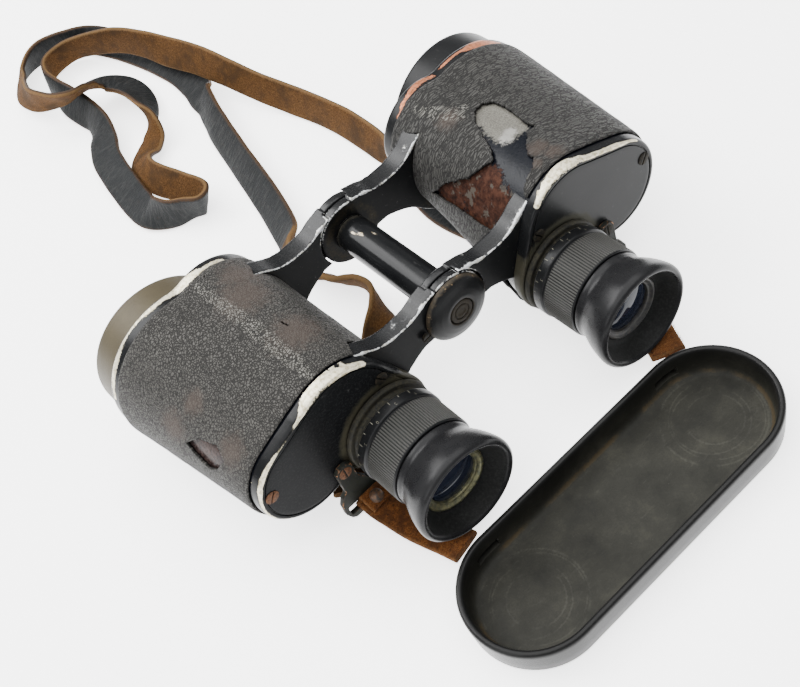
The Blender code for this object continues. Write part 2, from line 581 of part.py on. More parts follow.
# Route of the neck strap from the right lug to the left lug: x, y, z of its middle and its lean
NECK_STRAP = (
    (51.5, 2.6, 5.4, 0), (49.0, 12.0, 3.0, 0), (44.5, 28.0, 1.5, 0), (39.5, 45.0, 1.4, 0),
    (37.6, 60.0, 1.4, 0), (38.4, 72.0, 2.6, 14), (40.4, 84.0, 5.4, 62), (41.8, 97.1, 5.8, 108),
    (42.3, 113.5, 5.9, 112), (41.1, 130.0, 6.0, 108), (38.3, 145.1, 6.6, 108), (34.3, 157.6, 9.1, 108),
    (30.8, 171.4, 12.2, 111), (27.9, 188.6, 12.8, 117), (23.9, 206.7, 12.0, 117),
    (20.8, 219.6, 12.0, 103), (17.4, 230.0, 11.5, 95), (12.4, 239.6, 10.2, 86), (4.8, 250.4, 7.9, 78),
    (-1.6, 253.9, 6.8, 78), (-8.4, 253.0, 6.2, 82), (-12.6, 246.6, 6.2, 80), (-13.6, 237.0, 6.0, 70),
    (-13.5, 227.5, 4.7, 46), (-13.0, 217.5, 4.7, 45), (-12.9, 210.0, 5.8, 52), (-14.2, 202.6, 5.4, 38),
    (-17.6, 195.6, 4.6, 14), (-21.3, 188.1, 4.4, 12), (-23.4, 180.0, 4.3, 16), (-25.0, 171.0, 3.6, 17),
    (-26.4, 161.5, 3.0, 20), (-27.2, 152.0, 3.0, 26), (-26.3, 145.4, 4.8, 52), (-22.6, 139.0, 6.0, 82),
    (-17.4, 135.6, 6.3, 100), (-13.2, 132.6, 6.1, 111), (-10.4, 136.0, 5.8, 119),
    (-12.8, 147.0, 5.6, 120), (-15.4, 155.8, 5.4, 124), (-16.6, 163.0, 4.9, 131),
    (-15.9, 169.4, 3.8, 143), (-12.8, 174.6, 2.6, 157), (-8.4, 178.0, 2.0, 166), (-4.0, 180.6, 3.2, 156),
    (-0.9, 184.6, 6.2, 120), (1.6, 190.8, 7.4, 70), (4.3, 198.3, 6.8, 44), (5.6, 206.4, 6.2, 30),
    (4.2, 214.2, 6.8, 20), (-0.4, 218.9, 8.6, 14), (-5.6, 219.2, 11.2, 17), (-10.2, 217.0, 13.8, 32),
    (-14.4, 215.8, 15.6, 47), (-19.0, 219.6, 15.6, 60), (-23.4, 228.4, 14.2, 84),
    (-24.2, 239.0, 11.4, 112), (-22.6, 250.0, 8.2, 130), (-18.8, 259.6, 6.2, 124),
    (-12.2, 265.2, 5.8, 116), (-4.6, 265.8, 5.8, 106), (2.4, 262.4, 5.9, 97), (8.4, 256.2, 5.6, 80),
    (13.6, 249.4, 4.2, 50), (17.4, 242.4, 2.9, 26), (20.0, 234.0, 2.2, 18), (21.8, 225.1, 2.1, 15),
    (23.4, 213.5, 2.1, 15), (24.2, 202.0, 2.2, 15), (22.9, 189.6, 2.5, 18), (20.9, 182.8, 3.2, 26),
    (19.0, 176.5, 5.0, 50), (16.4, 168.9, 5.0, 50), (13.0, 157.9, 4.5, 44), (7.9, 136.5, 4.6, 44),
    (3.1, 115.9, 4.2, 40), (-2.6, 96.5, 4.2, 42), (-7.2, 88.5, 5.4, 70), (-9.8, 81.0, 6.0, 100),
    (-8.5, 75.1, 6.1, 113), (-6.6, 70.4, 6.0, 122), (-4.7, 65.0, 6.0, 122), (-2.2, 61.0, 6.1, 116),
    (-1.0, 56.6, 6.2, 106), (-1.7, 50.3, 6.4, 92), (-4.2, 44.6, 6.0, 112), (-9.0, 39.5, 4.0, 145),
    (-16.0, 34.5, 1.8, 172), (-28.0, 26.0, 1.4, 180), (-39.5, 17.0, 2.0, 180), (-47.0, 8.6, 4.4, 180),
    (-50.6, 3.2, 5.4, 180))


def make_straps():
    """The neck strap on the surface, and the short straps that tie the guard to the lugs."""
    ribbon("neck_strap", NECK_STRAP, STRAP_WIDTH, STRAP_THICK, suede())
    left = [(-47.9, -1.7, 5.4, 0), (-47.7, -5.6, 5.4, 0), (-46.9, -10.5, 5.0, 0), (-45.4, -18.0, 3.8, 0),
            (-42.8, -27.0, 4.2, 0), (-41.4, -33.6, 5.4, 0)]
    right = [(48.2, -1.7, 5.4, 0), (48.0, -5.6, 5.4, 0), (47.2, -10.5, 4.8, 0), (45.4, -17.0, 2.8, 0),
             (40.6, -26.5, 3.2, 0), (36.6, -34.4, 5.4, 0)]
    for label, route in (("left", left), ("right", right)):
        ribbon(f"{label}_guard_strap", route, 10.0, STRAP_THICK, suede(), 2)
        x, y = route[1][0], route[1][1]
        stud = [(0.0, -0.2), (2.2, -0.2), (2.2, 1.4), (1.4, 2.1), (0.0, 2.3)]
        bottom = route[1][2] + STRAP_THICK / 2 + 0.9
        stud_object(f"{label}_strap_stud", stud, (x, y + 1.0, bottom), black_paint())


def stud_object(name, profile, foot, mat):
    """A small domed stud standing along Z; the profile runs up its outer side."""
    obj = screwed(name, list(reversed(profile)), 14)
    obj.location = Vector(foot) * MM
    return finish(obj, name, mat, None)


def main():
    clear_scene()
    frame = bpy.data.objects.new("hinge_frame", None)
    frame.location = (0.0, HINGE_Y * MM, HINGE_Z * MM)
    COLLECTION.objects.link(frame)
    for side, label in ((HALF_LEFT, "left"), (HALF_RIGHT, "right")):
        make_housing(side, label, frame)
        make_leather(side, label, frame)
        make_rear_cover(side, label, frame)
        make_front_cover(side, label, frame)
        make_objective(side, label, frame)
        make_prisms(side, label, frame)
        make_eyepiece(side, label, frame)
        make_lug(side, label, frame)
    make_hinge(frame)
    make_guard()
    make_straps()


main()
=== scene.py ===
"""Looks of a worn 6 x 30 Porro prism binocular with its rain guard and straps.

Sizes are millimetres unless a name ends in _M. The barrels, eyepieces and hinge are described in the
instrument frame, whose origin is on the hinge axis, and the guard and straps in the row's own frame.
"""

import math

import bmesh
import bpy
import numpy as np
from mathutils import Matrix, Vector, noise


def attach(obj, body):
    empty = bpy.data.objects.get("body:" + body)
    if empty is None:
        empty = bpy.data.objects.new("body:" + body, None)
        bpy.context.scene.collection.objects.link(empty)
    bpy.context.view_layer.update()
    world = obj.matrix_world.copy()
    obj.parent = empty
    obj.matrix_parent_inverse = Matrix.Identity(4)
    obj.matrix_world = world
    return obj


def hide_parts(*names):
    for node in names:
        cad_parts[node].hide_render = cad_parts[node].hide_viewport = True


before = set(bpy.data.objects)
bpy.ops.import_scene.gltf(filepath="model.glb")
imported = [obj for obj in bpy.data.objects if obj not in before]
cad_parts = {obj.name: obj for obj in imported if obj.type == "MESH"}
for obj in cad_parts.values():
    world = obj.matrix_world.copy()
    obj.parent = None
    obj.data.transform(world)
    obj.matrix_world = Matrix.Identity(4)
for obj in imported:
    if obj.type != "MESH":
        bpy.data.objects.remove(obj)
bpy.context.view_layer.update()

MM = 0.001
UV_UNIT = 0.01                     # UV distance for each millimetre
HINGE = (0.0, 29.0, 35.8)          # hinge axis in the row's frame
WORLD = (0.0, 0.0, 0.0)
EYE_X, EYE_Z = 33.6, -13.2
OBJ_X, OBJ_Z = 59.3, -10.0
RIGHT_FOCUS_IN = 1.3
SIDES = ((-1, "left"), (1, "right"))

# Housing sections: unions of circles (x, z, radius) at both ends, seen from a hub that moves along Y
REAR_LOBES = ((58.8, -5.8, 15.2), (53.4, -4.0, 15.8), (48.0, -2.2, 16.4), (42.4, -0.4, 17.0),
              (38.0, -6.8, 15.9), (33.6, -13.2, 14.8))
FRONT_LOBES = ((57.5, -10.4, 25.4), (42.4, -0.4, 16.1))
REAR_HUB, FRONT_HUB = (45.0, -7.0), (50.0, -8.0)
REAR_Y, FRONT_Y = -28.2, 35.4

ARM_TOP = ((4.0, 10.2), (8.6, 8.9), (12.2, 7.4), (16.3, 6.9), (20.4, 7.0), (24.5, 8.1), (28.6, 10.7),
           (31.5, 12.3), (34.0, 12.6))
ARM_BOTTOM = ((34.0, -17.0), (29.5, -17.5), (25.6, -14.6), (22.6, -11.0), (19.6, -8.6), (16.6, -7.0),
              (13.3, -5.6), (9.9, -5.2), (4.0, -5.8))
FRONT_ARM_Y, REAR_ARM_Y = (20.8, 27.1), (-24.2, -18.7)
KNUCKLE_R, KNUCKLE_CLEAR_R = 10.4, 10.9

COVER_Y = (-24.15, 31.1)           # ends of the leatherette

GUARD_CENTRE, GUARD_LENGTH, GUARD_WIDTH = (-5.0, -56.1), 105.5, 39.0
GUARD_RUN = (GUARD_LENGTH - GUARD_WIDTH) / 2
GUARD_SLOTS_X, SLOT_Z = (-38.5, 30.0), 5.4
# Round scuffs of the eyecups inside the guard: radius, width and sideways shift
GUARD_SCUFFS = ((14.2, 0.9, 0.0), (12.6, 0.6, 0.8), (10.4, 0.7, -0.6), (7.8, 0.8, 0.4))
LUG_X = 50.0

# Route of the neck strap from the right lug to the left lug: x, y, z of its middle and its lean
NECK_STRAP = (
    (51.5, 2.6, 5.4, 0), (49.0, 12.0, 3.0, 0), (44.5, 28.0, 1.5, 0), (39.5, 45.0, 1.4, 0),
    (37.6, 60.0, 1.4, 0), (38.4, 72.0, 2.6, 14), (40.4, 84.0, 5.4, 62), (41.8, 97.1, 5.8, 108),
    (42.3, 113.5, 5.9, 112), (41.1, 130.0, 6.0, 108), (38.3, 145.1, 6.6, 108), (34.3, 157.6, 9.1, 108),
    (30.8, 171.4, 12.2, 111), (27.9, 188.6, 12.8, 117), (23.9, 206.7, 12.0, 117), (20.8, 219.6, 12.0, 103),
    (17.4, 230.0, 11.5, 95), (12.4, 239.6, 10.2, 86), (4.8, 250.4, 7.9, 78), (-1.6, 253.9, 6.8, 78),
    (-8.4, 253.0, 6.2, 82), (-12.6, 246.6, 6.2, 80), (-13.6, 237.0, 6.0, 70), (-13.5, 227.5, 4.7, 46),
    (-13.0, 217.5, 4.7, 45), (-12.9, 210.0, 5.8, 52), (-14.2, 202.6, 5.4, 38), (-17.6, 195.6, 4.6, 14),
    (-21.3, 188.1, 4.4, 12), (-23.4, 180.0, 4.3, 16), (-25.0, 171.0, 3.6, 17), (-26.4, 161.5, 3.0, 20),
    (-27.2, 152.0, 3.0, 26), (-26.3, 145.4, 4.8, 52), (-22.6, 139.0, 6.0, 82), (-17.4, 135.6, 6.3, 100),
    (-13.2, 132.6, 6.1, 111), (-10.4, 136.0, 5.8, 119), (-12.8, 147.0, 5.6, 120), (-15.4, 155.8, 5.4, 124),
    (-16.6, 163.0, 4.9, 131), (-15.9, 169.4, 3.8, 143), (-12.8, 174.6, 2.6, 157), (-8.4, 178.0, 2.0, 166),
    (-4.0, 180.6, 3.2, 156), (-0.9, 184.6, 6.2, 120), (1.6, 190.8, 7.4, 70), (4.3, 198.3, 6.8, 44),
    (5.6, 206.4, 6.2, 30), (4.2, 214.2, 6.8, 20), (-0.4, 218.9, 8.6, 14), (-5.6, 219.2, 11.2, 17),
    (-10.2, 217.0, 13.8, 32), (-14.4, 215.8, 15.6, 47), (-19.0, 219.6, 15.6, 60), (-23.4, 228.4, 14.2, 84),
    (-24.2, 239.0, 11.4, 112), (-22.6, 250.0, 8.2, 130), (-18.8, 259.6, 6.2, 124), (-12.2, 265.2, 5.8, 116),
    (-4.6, 265.8, 5.8, 106), (2.4, 262.4, 5.9, 97), (8.4, 256.2, 5.6, 80), (13.6, 249.4, 4.2, 50),
    (17.4, 242.4, 2.9, 26), (20.0, 234.0, 2.2, 18), (21.8, 225.1, 2.1, 15), (23.4, 213.5, 2.1, 15),
    (24.2, 202.0, 2.2, 15), (22.9, 189.6, 2.5, 18), (20.9, 182.8, 3.2, 26), (19.0, 176.5, 5.0, 50),
    (16.4, 168.9, 5.0, 50), (13.0, 157.9, 4.5, 44), (7.9, 136.5, 4.6, 44), (3.1, 115.9, 4.2, 40),
    (-2.6, 96.5, 4.2, 42), (-7.2, 88.5, 5.4, 70), (-9.8, 81.0, 6.0, 100), (-8.5, 75.1, 6.1, 113),
    (-6.6, 70.4, 6.0, 122), (-4.7, 65.0, 6.0, 122), (-2.2, 61.0, 6.1, 116), (-1.0, 56.6, 6.2, 106),
    (-1.7, 50.3, 6.4, 92), (-4.2, 44.6, 6.0, 112), (-9.0, 39.5, 4.0, 145), (-16.0, 34.5, 1.8, 172),
    (-28.0, 26.0, 1.4, 180), (-39.5, 17.0, 2.0, 180), (-47.0, 8.6, 4.4, 180), (-50.6, 3.2, 5.4, 180))
NECK_WIDTH, NECK_THICK = 12.0, 2.0
NECK_STEPS = 8                     # rings of the strap for each route point
GUARD_STRAP_WIDTH, GUARD_STRAP_THICK = 10.0, 2.0
FOLD_WIDTH, FOLD_THICK = 7.6, 1.3
STRAP_WOBBLE = 0.25                # unevenness of a strap's faces
STRAP_SIDE, STRAP_CROWN = 1.06, 1.09   # its faces bulge by these shares of half its thickness

# The photograph's view: azimuth, elevation and roll, the point looked at, its distance and the lens
VIEW_DEGREES = (-21.61, 50.76, -25.06)
VIEW_TARGET, VIEW_DISTANCE = (-17.0, 6.82, 35.8), 331.02
SENSOR_AND_LENS, LENS_SHIFT = (36.0, 55.83), (-0.0047, -0.00065)


# ---------------------------------------------------------------- camera, light and floor

def look():
    """The viewing position: a camera fitted to the instrument's ends, rings, hinge and guard."""
    azimuth, elevation, roll = (math.radians(degrees) for degrees in VIEW_DEGREES)
    back = Vector((math.sin(azimuth) * math.cos(elevation), -math.cos(azimuth) * math.cos(elevation),
                   math.sin(elevation)))
    right = Vector((math.cos(azimuth), math.sin(azimuth), 0.0))
    up = back.cross(right)
    camera_x = math.cos(roll) * right + math.sin(roll) * up
    camera_y = math.cos(roll) * up - math.sin(roll) * right
    data = bpy.data.cameras.new("camera")
    data.sensor_width, data.lens = SENSOR_AND_LENS
    data.shift_x, data.shift_y = LENS_SHIFT
    data.clip_start, data.clip_end = 0.01, 20.0
    camera = bpy.data.objects.new("camera", data)
    place = (Vector(VIEW_TARGET) + back * VIEW_DISTANCE) * MM
    turn = Matrix((camera_x, camera_y, back)).transposed().to_4x4()
    camera.matrix_world = Matrix.Translation(place) @ turn
    bpy.context.scene.collection.objects.link(camera)
    bpy.context.scene.camera = camera


def area_light(name, place, target, size, power):
    data = bpy.data.lights.new(name, "AREA")
    data.shape = "RECTANGLE"
    data.size, data.size_y = size
    data.energy = power
    light = bpy.data.objects.new(name, data)
    light.location = place
    light.rotation_euler = (Vector(target) - Vector(place)).to_track_quat("-Z", "Y").to_euler()
    bpy.context.scene.collection.objects.link(light)


def studio():
    """Soft daylight from above over a white floor."""
    world = bpy.data.worlds.new("studio")
    world.use_nodes = True
    background = world.node_tree.nodes["Background"]
    background.inputs["Color"].default_value = (0.97, 0.98, 1.0, 1.0)
    background.inputs["Strength"].default_value = 0.55
    bpy.context.scene.world = world
    area_light("overhead", (0.0, 0.15, 1.3), (0.0, 0.05, 0.0), (2.0, 1.8), 62.0)
    area_light("key", (-0.35, 0.85, 0.85), (0.0, 0.05, 0.0), (0.8, 0.5), 19.0)
    area_light("side", (-0.95, -0.15, 0.55), (0.0, 0.0, 0.0), (0.5, 0.5), 4.0)
    bpy.ops.mesh.primitive_plane_add(size=8.0, location=(0.0, 0.0, 0.0))
    floor = bpy.context.active_object
    floor.name = "floor"
    g = Graph("floor_white")
    white = g.ramp(g.noise(3.0, 3.0), ((0.35, (0.90, 0.90, 0.90)), (0.65, (0.93, 0.93, 0.93))))
    g.done(white, 0.6, Specular_IOR_Level=0.2, Emission_Color=(1.0, 1.0, 1.0), Emission_Strength=2.4)
    floor.data.materials.append(g.material)


# ---------------------------------------------------------------- shader graphs

class Graph:
    """Short calls for building one procedural material."""

    def __init__(self, name):
        self.material = bpy.data.materials.new(name)
        self.material.use_nodes = True
        self.tree = self.material.node_tree
        self.shader = self.tree.nodes["Principled BSDF"]
        coords = self.new("TexCoord")
        self.mm = self.scaled(coords.outputs["Object"], 1.0 / MM)
        self.uv = self.scaled(coords.outputs["UV"], 1.0 / UV_UNIT)

    def new(self, kind, inputs=(), **settings):
        """A node with the given settings and input sockets."""
        node = self.tree.nodes.new("ShaderNode" + kind)
        for name, value in settings.items():
            setattr(node, name, value)
        for socket, value in dict(inputs).items():
            self.put(node.inputs[socket], value)
        return node

    def put(self, socket, value):
        if isinstance(value, bpy.types.NodeSocket):
            self.tree.links.new(value, socket)
        elif isinstance(value, tuple) and len(value) == 3 and len(socket.default_value) == 4:
            socket.default_value = (*value, 1.0)
        else:
            socket.default_value = value

    def scaled(self, vector, factor):
        return self.new("VectorMath", {0: vector, "Scale": factor}, operation="SCALE").outputs[0]

    def stretch(self, vector, scale, turn):
        inputs = {"Vector": vector, "Scale": scale, "Rotation": (0.0, 0.0, math.radians(turn))}
        return self.new("Mapping", inputs).outputs[0]

    def noise(self, per_mm, detail, vector=None, rough=0.5):
        inputs = {"Vector": self.mm if vector is None else vector, "Scale": per_mm, "Detail": detail,
                  "Roughness": rough}
        return self.new("TexNoise", inputs).outputs["Fac"]

    def crackle(self, per_mm, vector, random):
        """Distance to the nearest border of irregular cells."""
        inputs = {"Vector": vector, "Scale": per_mm, "Randomness": random}
        return self.new("TexVoronoi", inputs, feature="DISTANCE_TO_EDGE").outputs["Distance"]

    def ring(self, centre, radius, width):
        """1 on a circle round a point (mm), 0 at a width away from it."""
        away = self.new("VectorMath", {0: self.mm, 1: centre}, operation="DISTANCE").outputs["Value"]
        gap = self.math("ABSOLUTE", self.math("SUBTRACT", away, radius))
        return self.step(gap, width, 0.0)

    def attribute(self, name):
        return self.new("Attribute", attribute_name=name).outputs["Fac"]

    def math(self, operation, a, b=0.0, clamp=False):
        return self.new("Math", {0: a, 1: b}, operation=operation, use_clamp=clamp).outputs[0]

    def add(self, a, b, clamp=False):
        return self.math("ADD", a, b, clamp)

    def mul(self, a, b, clamp=False):
        return self.math("MULTIPLY", a, b, clamp)

    def sway(self, value, amount):
        """A noise of 0..1 as an even swing of half the amount either way."""
        return self.mul(self.math("SUBTRACT", value, 0.5), amount)

    def step(self, value, low, high):
        """0 below low, 1 above high, smooth between."""
        inputs = {"Value": value, "From Min": low, "From Max": high}
        return self.new("MapRange", inputs, interpolation_type="SMOOTHSTEP").outputs[0]

    def patch(self, attribute, value, amount, low, high):
        """A step of a stored attribute whose border is broken up by a noise."""
        return self.step(self.add(self.attribute(attribute), self.sway(value, amount)), low, high)

    def ramp(self, value, stops):
        node = self.new("ValToRGB", {"Fac": value})
        points = node.color_ramp.elements
        for _ in range(len(stops) - 2):
            points.new(0.5)
        for point, (place, colour) in zip(points, stops):
            point.position = place
            point.color = (*colour, 1.0)
        return node.outputs["Color"]

    def mix(self, factor, a, b):
        return self.new("Mix", {"Factor": factor, 6: a, 7: b}, data_type="RGBA").outputs[2]

    def blend(self, factor, a, b):
        """Mix of two numbers."""
        return self.new("Mix", {"Factor": factor, 2: a, 3: b}, data_type="FLOAT").outputs[0]

    def bump(self, height, depth):
        """height of 0..1 stands depth millimetres high."""
        return self.new("Bump", {"Strength": 1.0, "Distance": depth * MM, "Height": height}).outputs[0]

    def done(self, colour, roughness, metallic=0.0, normal=None, **sockets):
        sockets.update(Base_Color=colour, Roughness=roughness, Metallic=metallic)
        if normal is not None:
            sockets["Normal"] = normal
        for name, value in sockets.items():
            self.put(self.shader.inputs[name.replace("_", " ")], value)
        return self.material


# ---------------------------------------------------------------- mesh helpers

def make(name, points, faces, material, offset=HINGE, uv=None, smooth=True, sharp=40.0):
    """A mesh object from points in millimetres; uv is one (u, v) in millimetres for each point."""
    mesh = bpy.data.meshes.new(name)
    place = (np.asarray(points, dtype=float) + np.asarray(offset)) * MM
    mesh.from_pydata(place.tolist(), [], faces)
    if uv is not None:
        layer = mesh.uv_layers.new(name="UVMap")
        corner = np.empty(len(mesh.loops), dtype=np.int32)
        mesh.loops.foreach_get("vertex_index", corner)
        layer.data.foreach_set("uv", (np.asarray(uv, dtype=float)[corner] * UV_UNIT).ravel())
    work = bmesh.new()
    work.from_mesh(mesh)
    bmesh.ops.recalc_face_normals(work, faces=work.faces)
    work.to_mesh(mesh)
    work.free()
    obj = bpy.data.objects.new(name, mesh)
    bpy.context.scene.collection.objects.link(obj)
    mesh.materials.append(material)
    if smooth:
        mesh.shade_smooth()
        mesh.set_sharp_from_angle(angle=math.radians(sharp))
    return obj


def skin(rings, caps=(False, False)):
    """Quads between closed rows of points, with a face over either end. Returns points and faces."""
    count = len(rings[0])
    points = [p for ring in rings for p in ring]
    faces = []
    for k in range(len(rings) - 1):
        for i in range(count):
            j = (i + 1) % count
            faces.append((k * count + i, k * count + j, (k + 1) * count + j, (k + 1) * count + i))
    if caps[0]:
        faces.append(tuple(range(count)))
    if caps[1]:
        faces.append(tuple(range((len(rings) - 1) * count, len(rings) * count)))
    return points, faces


def rounded(profile, radius):
    """A copy of an open profile with its inner corners rounded."""
    steps = 4
    result = [Vector(profile[0])]
    for k in range(1, len(profile) - 1):
        before, here, after = (Vector(profile[k + d]) for d in (-1, 0, 1))
        a, b = before - here, after - here
        reach = min(radius, a.length * 0.45, b.length * 0.45)
        start, end = here + a.normalized() * reach, here + b.normalized() * reach
        for step in range(steps + 1):
            t = step / steps
            result.append(start * (1 - t) ** 2 + here * 2 * t * (1 - t) + end * t * t)
    result.append(Vector(profile[-1]))
    return [(p.x, p.y) for p in result]


def through(points, per_span):
    """Points of a Catmull-Rom curve through all the given points, as an array."""
    route = np.asarray(points, dtype=float)
    route = np.vstack([2 * route[0] - route[1], route, 2 * route[-1] - route[-2]])
    result = []
    for k in range(1, len(route) - 2):
        p0, p1, p2, p3 = route[k - 1:k + 3]
        for step in range(per_span):
            t = step / per_span
            result.append(0.5 * (2 * p1 + (p2 - p0) * t + (2 * p0 - 5 * p1 + 4 * p2 - p3) * t * t
                                 + (3 * p1 - p0 - 3 * p2 + p3) * t ** 3))
    result.append(route[-2])
    return np.array(result)


def turned(name, profile, axis, material, steps=128, ribs=None, corner=0.25):
    """Turn an open profile of (radius, y) about an axis along Y.

    ribs = (y0, y1, count, depth) knurls it.
    """
    outline = rounded(profile, corner) if corner else profile
    if ribs:
        steps = ribs[2] * 6
    angles = np.arange(steps) * 2 * math.pi / steps
    run = 0.0
    rings, uv = [], []
    for k, (radius, y) in enumerate(outline):
        if k:
            run += math.hypot(radius - outline[k - 1][0], y - outline[k - 1][1])
        reach = np.full(steps, radius)
        if ribs and ribs[0] <= y <= ribs[1]:
            reach = reach - ribs[3] * np.array((0.0, 0.35, 1.0, 1.0, 0.35, 0.0))[np.arange(steps) % 6]
        ring = np.stack([axis[0] + reach * np.cos(angles), np.full(steps, y),
                         axis[1] + reach * np.sin(angles)], -1)
        rings.append(ring)
        uv.append(np.stack([angles * max(radius, 1.0), np.full(steps, run)], -1))
    points, faces = skin(rings)
    return make(name, points, faces, material, uv=np.vstack(uv))


def store(obj, name, values):
    """A number for each point, or one for all of them, which a material reads by name."""
    layer = obj.data.attributes.new(name, "FLOAT", "POINT")
    layer.data.foreach_set("value", np.full(len(obj.data.vertices), values, dtype=np.float32))


def points_of(obj, offset=HINGE):
    points = np.empty(len(obj.data.vertices) * 3, dtype=np.float32)
    obj.data.vertices.foreach_get("co", points)
    return points.reshape(-1, 3).astype(float) / MM - np.asarray(offset)


def spots(points, places):
    """1 at the middle of any place (x, y, z, radius), falling to 0 at its radius."""
    value = np.zeros(len(points))
    for x, y, z, radius in places:
        distance = np.linalg.norm(points - (x, y, z), axis=1)
        value = np.maximum(value, 1.0 - distance / radius)
    return np.maximum(value, 0.0)


def bell(value, middle, width):
    """1 at the middle, falling softly to 0 on both sides."""
    return np.exp(-((value - middle) / width) ** 2)


def fade(value, middle, width):
    """1 at the middle, falling straight to 0 at a width away from it."""
    return np.clip(1.0 - np.abs(value - middle) / width, 0.0, 1.0)


def sharpness(obj, rounds):
    """How strongly the surface folds outwards at each point, from 0 to 1."""
    mesh = obj.data
    edges = np.empty(len(mesh.edges) * 2, dtype=np.int32)
    mesh.edges.foreach_get("vertices", edges)
    a, b = edges.reshape(-1, 2).T
    points = points_of(obj)
    normals = np.empty(len(mesh.vertices) * 3, dtype=np.float32)
    mesh.vertices.foreach_get("normal", normals)
    normals = normals.reshape(-1, 3)
    along = points[b] - points[a]
    fold = ((normals[b] - normals[a]) * along).sum(1) / np.maximum((along ** 2).sum(1), 1e-6)
    total = np.bincount(a, fold, len(points)) + np.bincount(b, fold, len(points))
    share = np.bincount(a, minlength=len(points)) + np.bincount(b, minlength=len(points))
    value = total / np.maximum(share, 1)
    for _ in range(rounds):
        spread = np.bincount(a, value[b], len(points)) + np.bincount(b, value[a], len(points))
        value = 0.5 * value + 0.5 * spread / np.maximum(share, 1)
    return value


def piece(obj, body, slot, *nodes):
    """The object rides on a body and stands for some CAD nodes, which it hides; slot is not used."""
    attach(obj, body)
    if nodes:
        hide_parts(*nodes)
    return obj


def applied(obj):
    """Turns the object's modifiers into its mesh."""
    mesh = bpy.data.meshes.new_from_object(obj.evaluated_get(bpy.context.evaluated_depsgraph_get()))
    obj.modifiers.clear()
    obj.data = mesh
    return obj


def boolean(obj, other, operation):
    modifier = obj.modifiers.new(operation.lower(), "BOOLEAN")
    modifier.operation = operation
    modifier.solver = "EXACT"
    modifier.object = other
    bpy.context.view_layer.update()
    applied(obj)
    bpy.data.objects.remove(other)


def soften(obj, voxel):
    """Joins and rounds a cut shape with voxels of that size (mm) and a light smoothing."""
    remesh = obj.modifiers.new("remesh", "REMESH")
    remesh.mode = "VOXEL"
    remesh.voxel_size = voxel * MM
    smooth = obj.modifiers.new("soften", "SMOOTH")
    smooth.factor = 0.5
    smooth.iterations = 4
    bpy.context.view_layer.update()
    applied(obj)
    obj.data.shade_smooth()


def box(x, z, half_x, half_z):
    """The corners of an upright rectangle."""
    return [(x - half_x, z - half_z), (x + half_x, z - half_z), (x + half_x, z + half_z),
            (x - half_x, z + half_z)]


def slab(name, outline, y_range, material, side=1, offset=HINGE):
    """A closed outline of (x, z) pushed out along Y."""
    rings = [[(side * x, y, z) for x, z in outline] for y in y_range]
    points, faces = skin(rings, caps=(True, True))
    return make(name, points, faces, material, offset)


# ---------------------------------------------------------------- housing sections

def lobe_reach(lobes, hub, angles):
    """Distance from the hub to the far side of the lobes, for each angle."""
    dx, dz = np.cos(angles), np.sin(angles)
    reach = np.zeros_like(angles)
    for cx, cz, radius in lobes:
        ox, oz = hub[0] - cx, hub[1] - cz
        along = ox * dx + oz * dz
        inside = along * along - (ox * ox + oz * oz - radius * radius)
        reach = np.where(inside > 0, np.maximum(reach, -along + np.sqrt(np.maximum(inside, 0))), reach)
    return reach


def smooth_reach(lobes, hub, angles):
    offsets = np.linspace(-0.1, 0.1, 9)
    return sum(lobe_reach(lobes, hub, angles + k) for k in offsets) / len(offsets)


SECTION_ANGLES = np.radians(np.arange(0.0, 360.0, 0.5))
REAR_REACH = smooth_reach(REAR_LOBES, REAR_HUB, SECTION_ANGLES)
FRONT_REACH = smooth_reach(FRONT_LOBES, FRONT_HUB, SECTION_ANGLES)


def section(y, side, inset=0.0, shrink=None):
    """One ring of a barrel at y. shrink scales it towards the hub instead, for end faces."""
    t = (y - REAR_Y) / (FRONT_Y - REAR_Y)
    hub = [REAR_HUB[k] + t * (FRONT_HUB[k] - REAR_HUB[k]) for k in (0, 1)]
    reach = REAR_REACH + t * (FRONT_REACH - REAR_REACH) - inset
    if shrink is not None:
        reach = reach * shrink
    return np.stack([side * (hub[0] + reach * np.cos(SECTION_ANGLES)), np.full(len(reach), float(y)),
                     hub[1] + reach * np.sin(SECTION_ANGLES)], -1)


def on_skin(angle, y, side, inset=0.0):
    """The point of a barrel's surface at an angle in degrees."""
    ring = section(y, side, inset)
    return ring[int(round(angle * 2)) % len(ring)]


def around_uv(rings):
    """(distance round the barrel, y) for each point of the rings."""
    middle = rings[len(rings) // 2]
    step = np.linalg.norm(middle - np.roll(middle, 1, axis=0), axis=1)
    step[0] = 0.0
    return np.vstack([np.stack([np.cumsum(step), ring[:, 1]], -1) for ring in rings])


# ---------------------------------------------------------------- materials

CREAM, SILVER, COPPER = (0.66, 0.61, 0.47), (0.55, 0.56, 0.57), (0.40, 0.150, 0.078)
# Leatherettes: pale tone of the painted highlight on the pebble tops, dark tone between them, turn of the
# grain, its stretch and its fineness
LEATHERETTES = {
    "left_leatherette": ((0.070, 0.067, 0.061), (0.0150, 0.0144, 0.0136), 35.0, 0.85, 1.45),
    "right_leatherette": ((0.052, 0.0505, 0.047), (0.0140, 0.0136, 0.0130), 62.0, 0.30, 1.4),
}
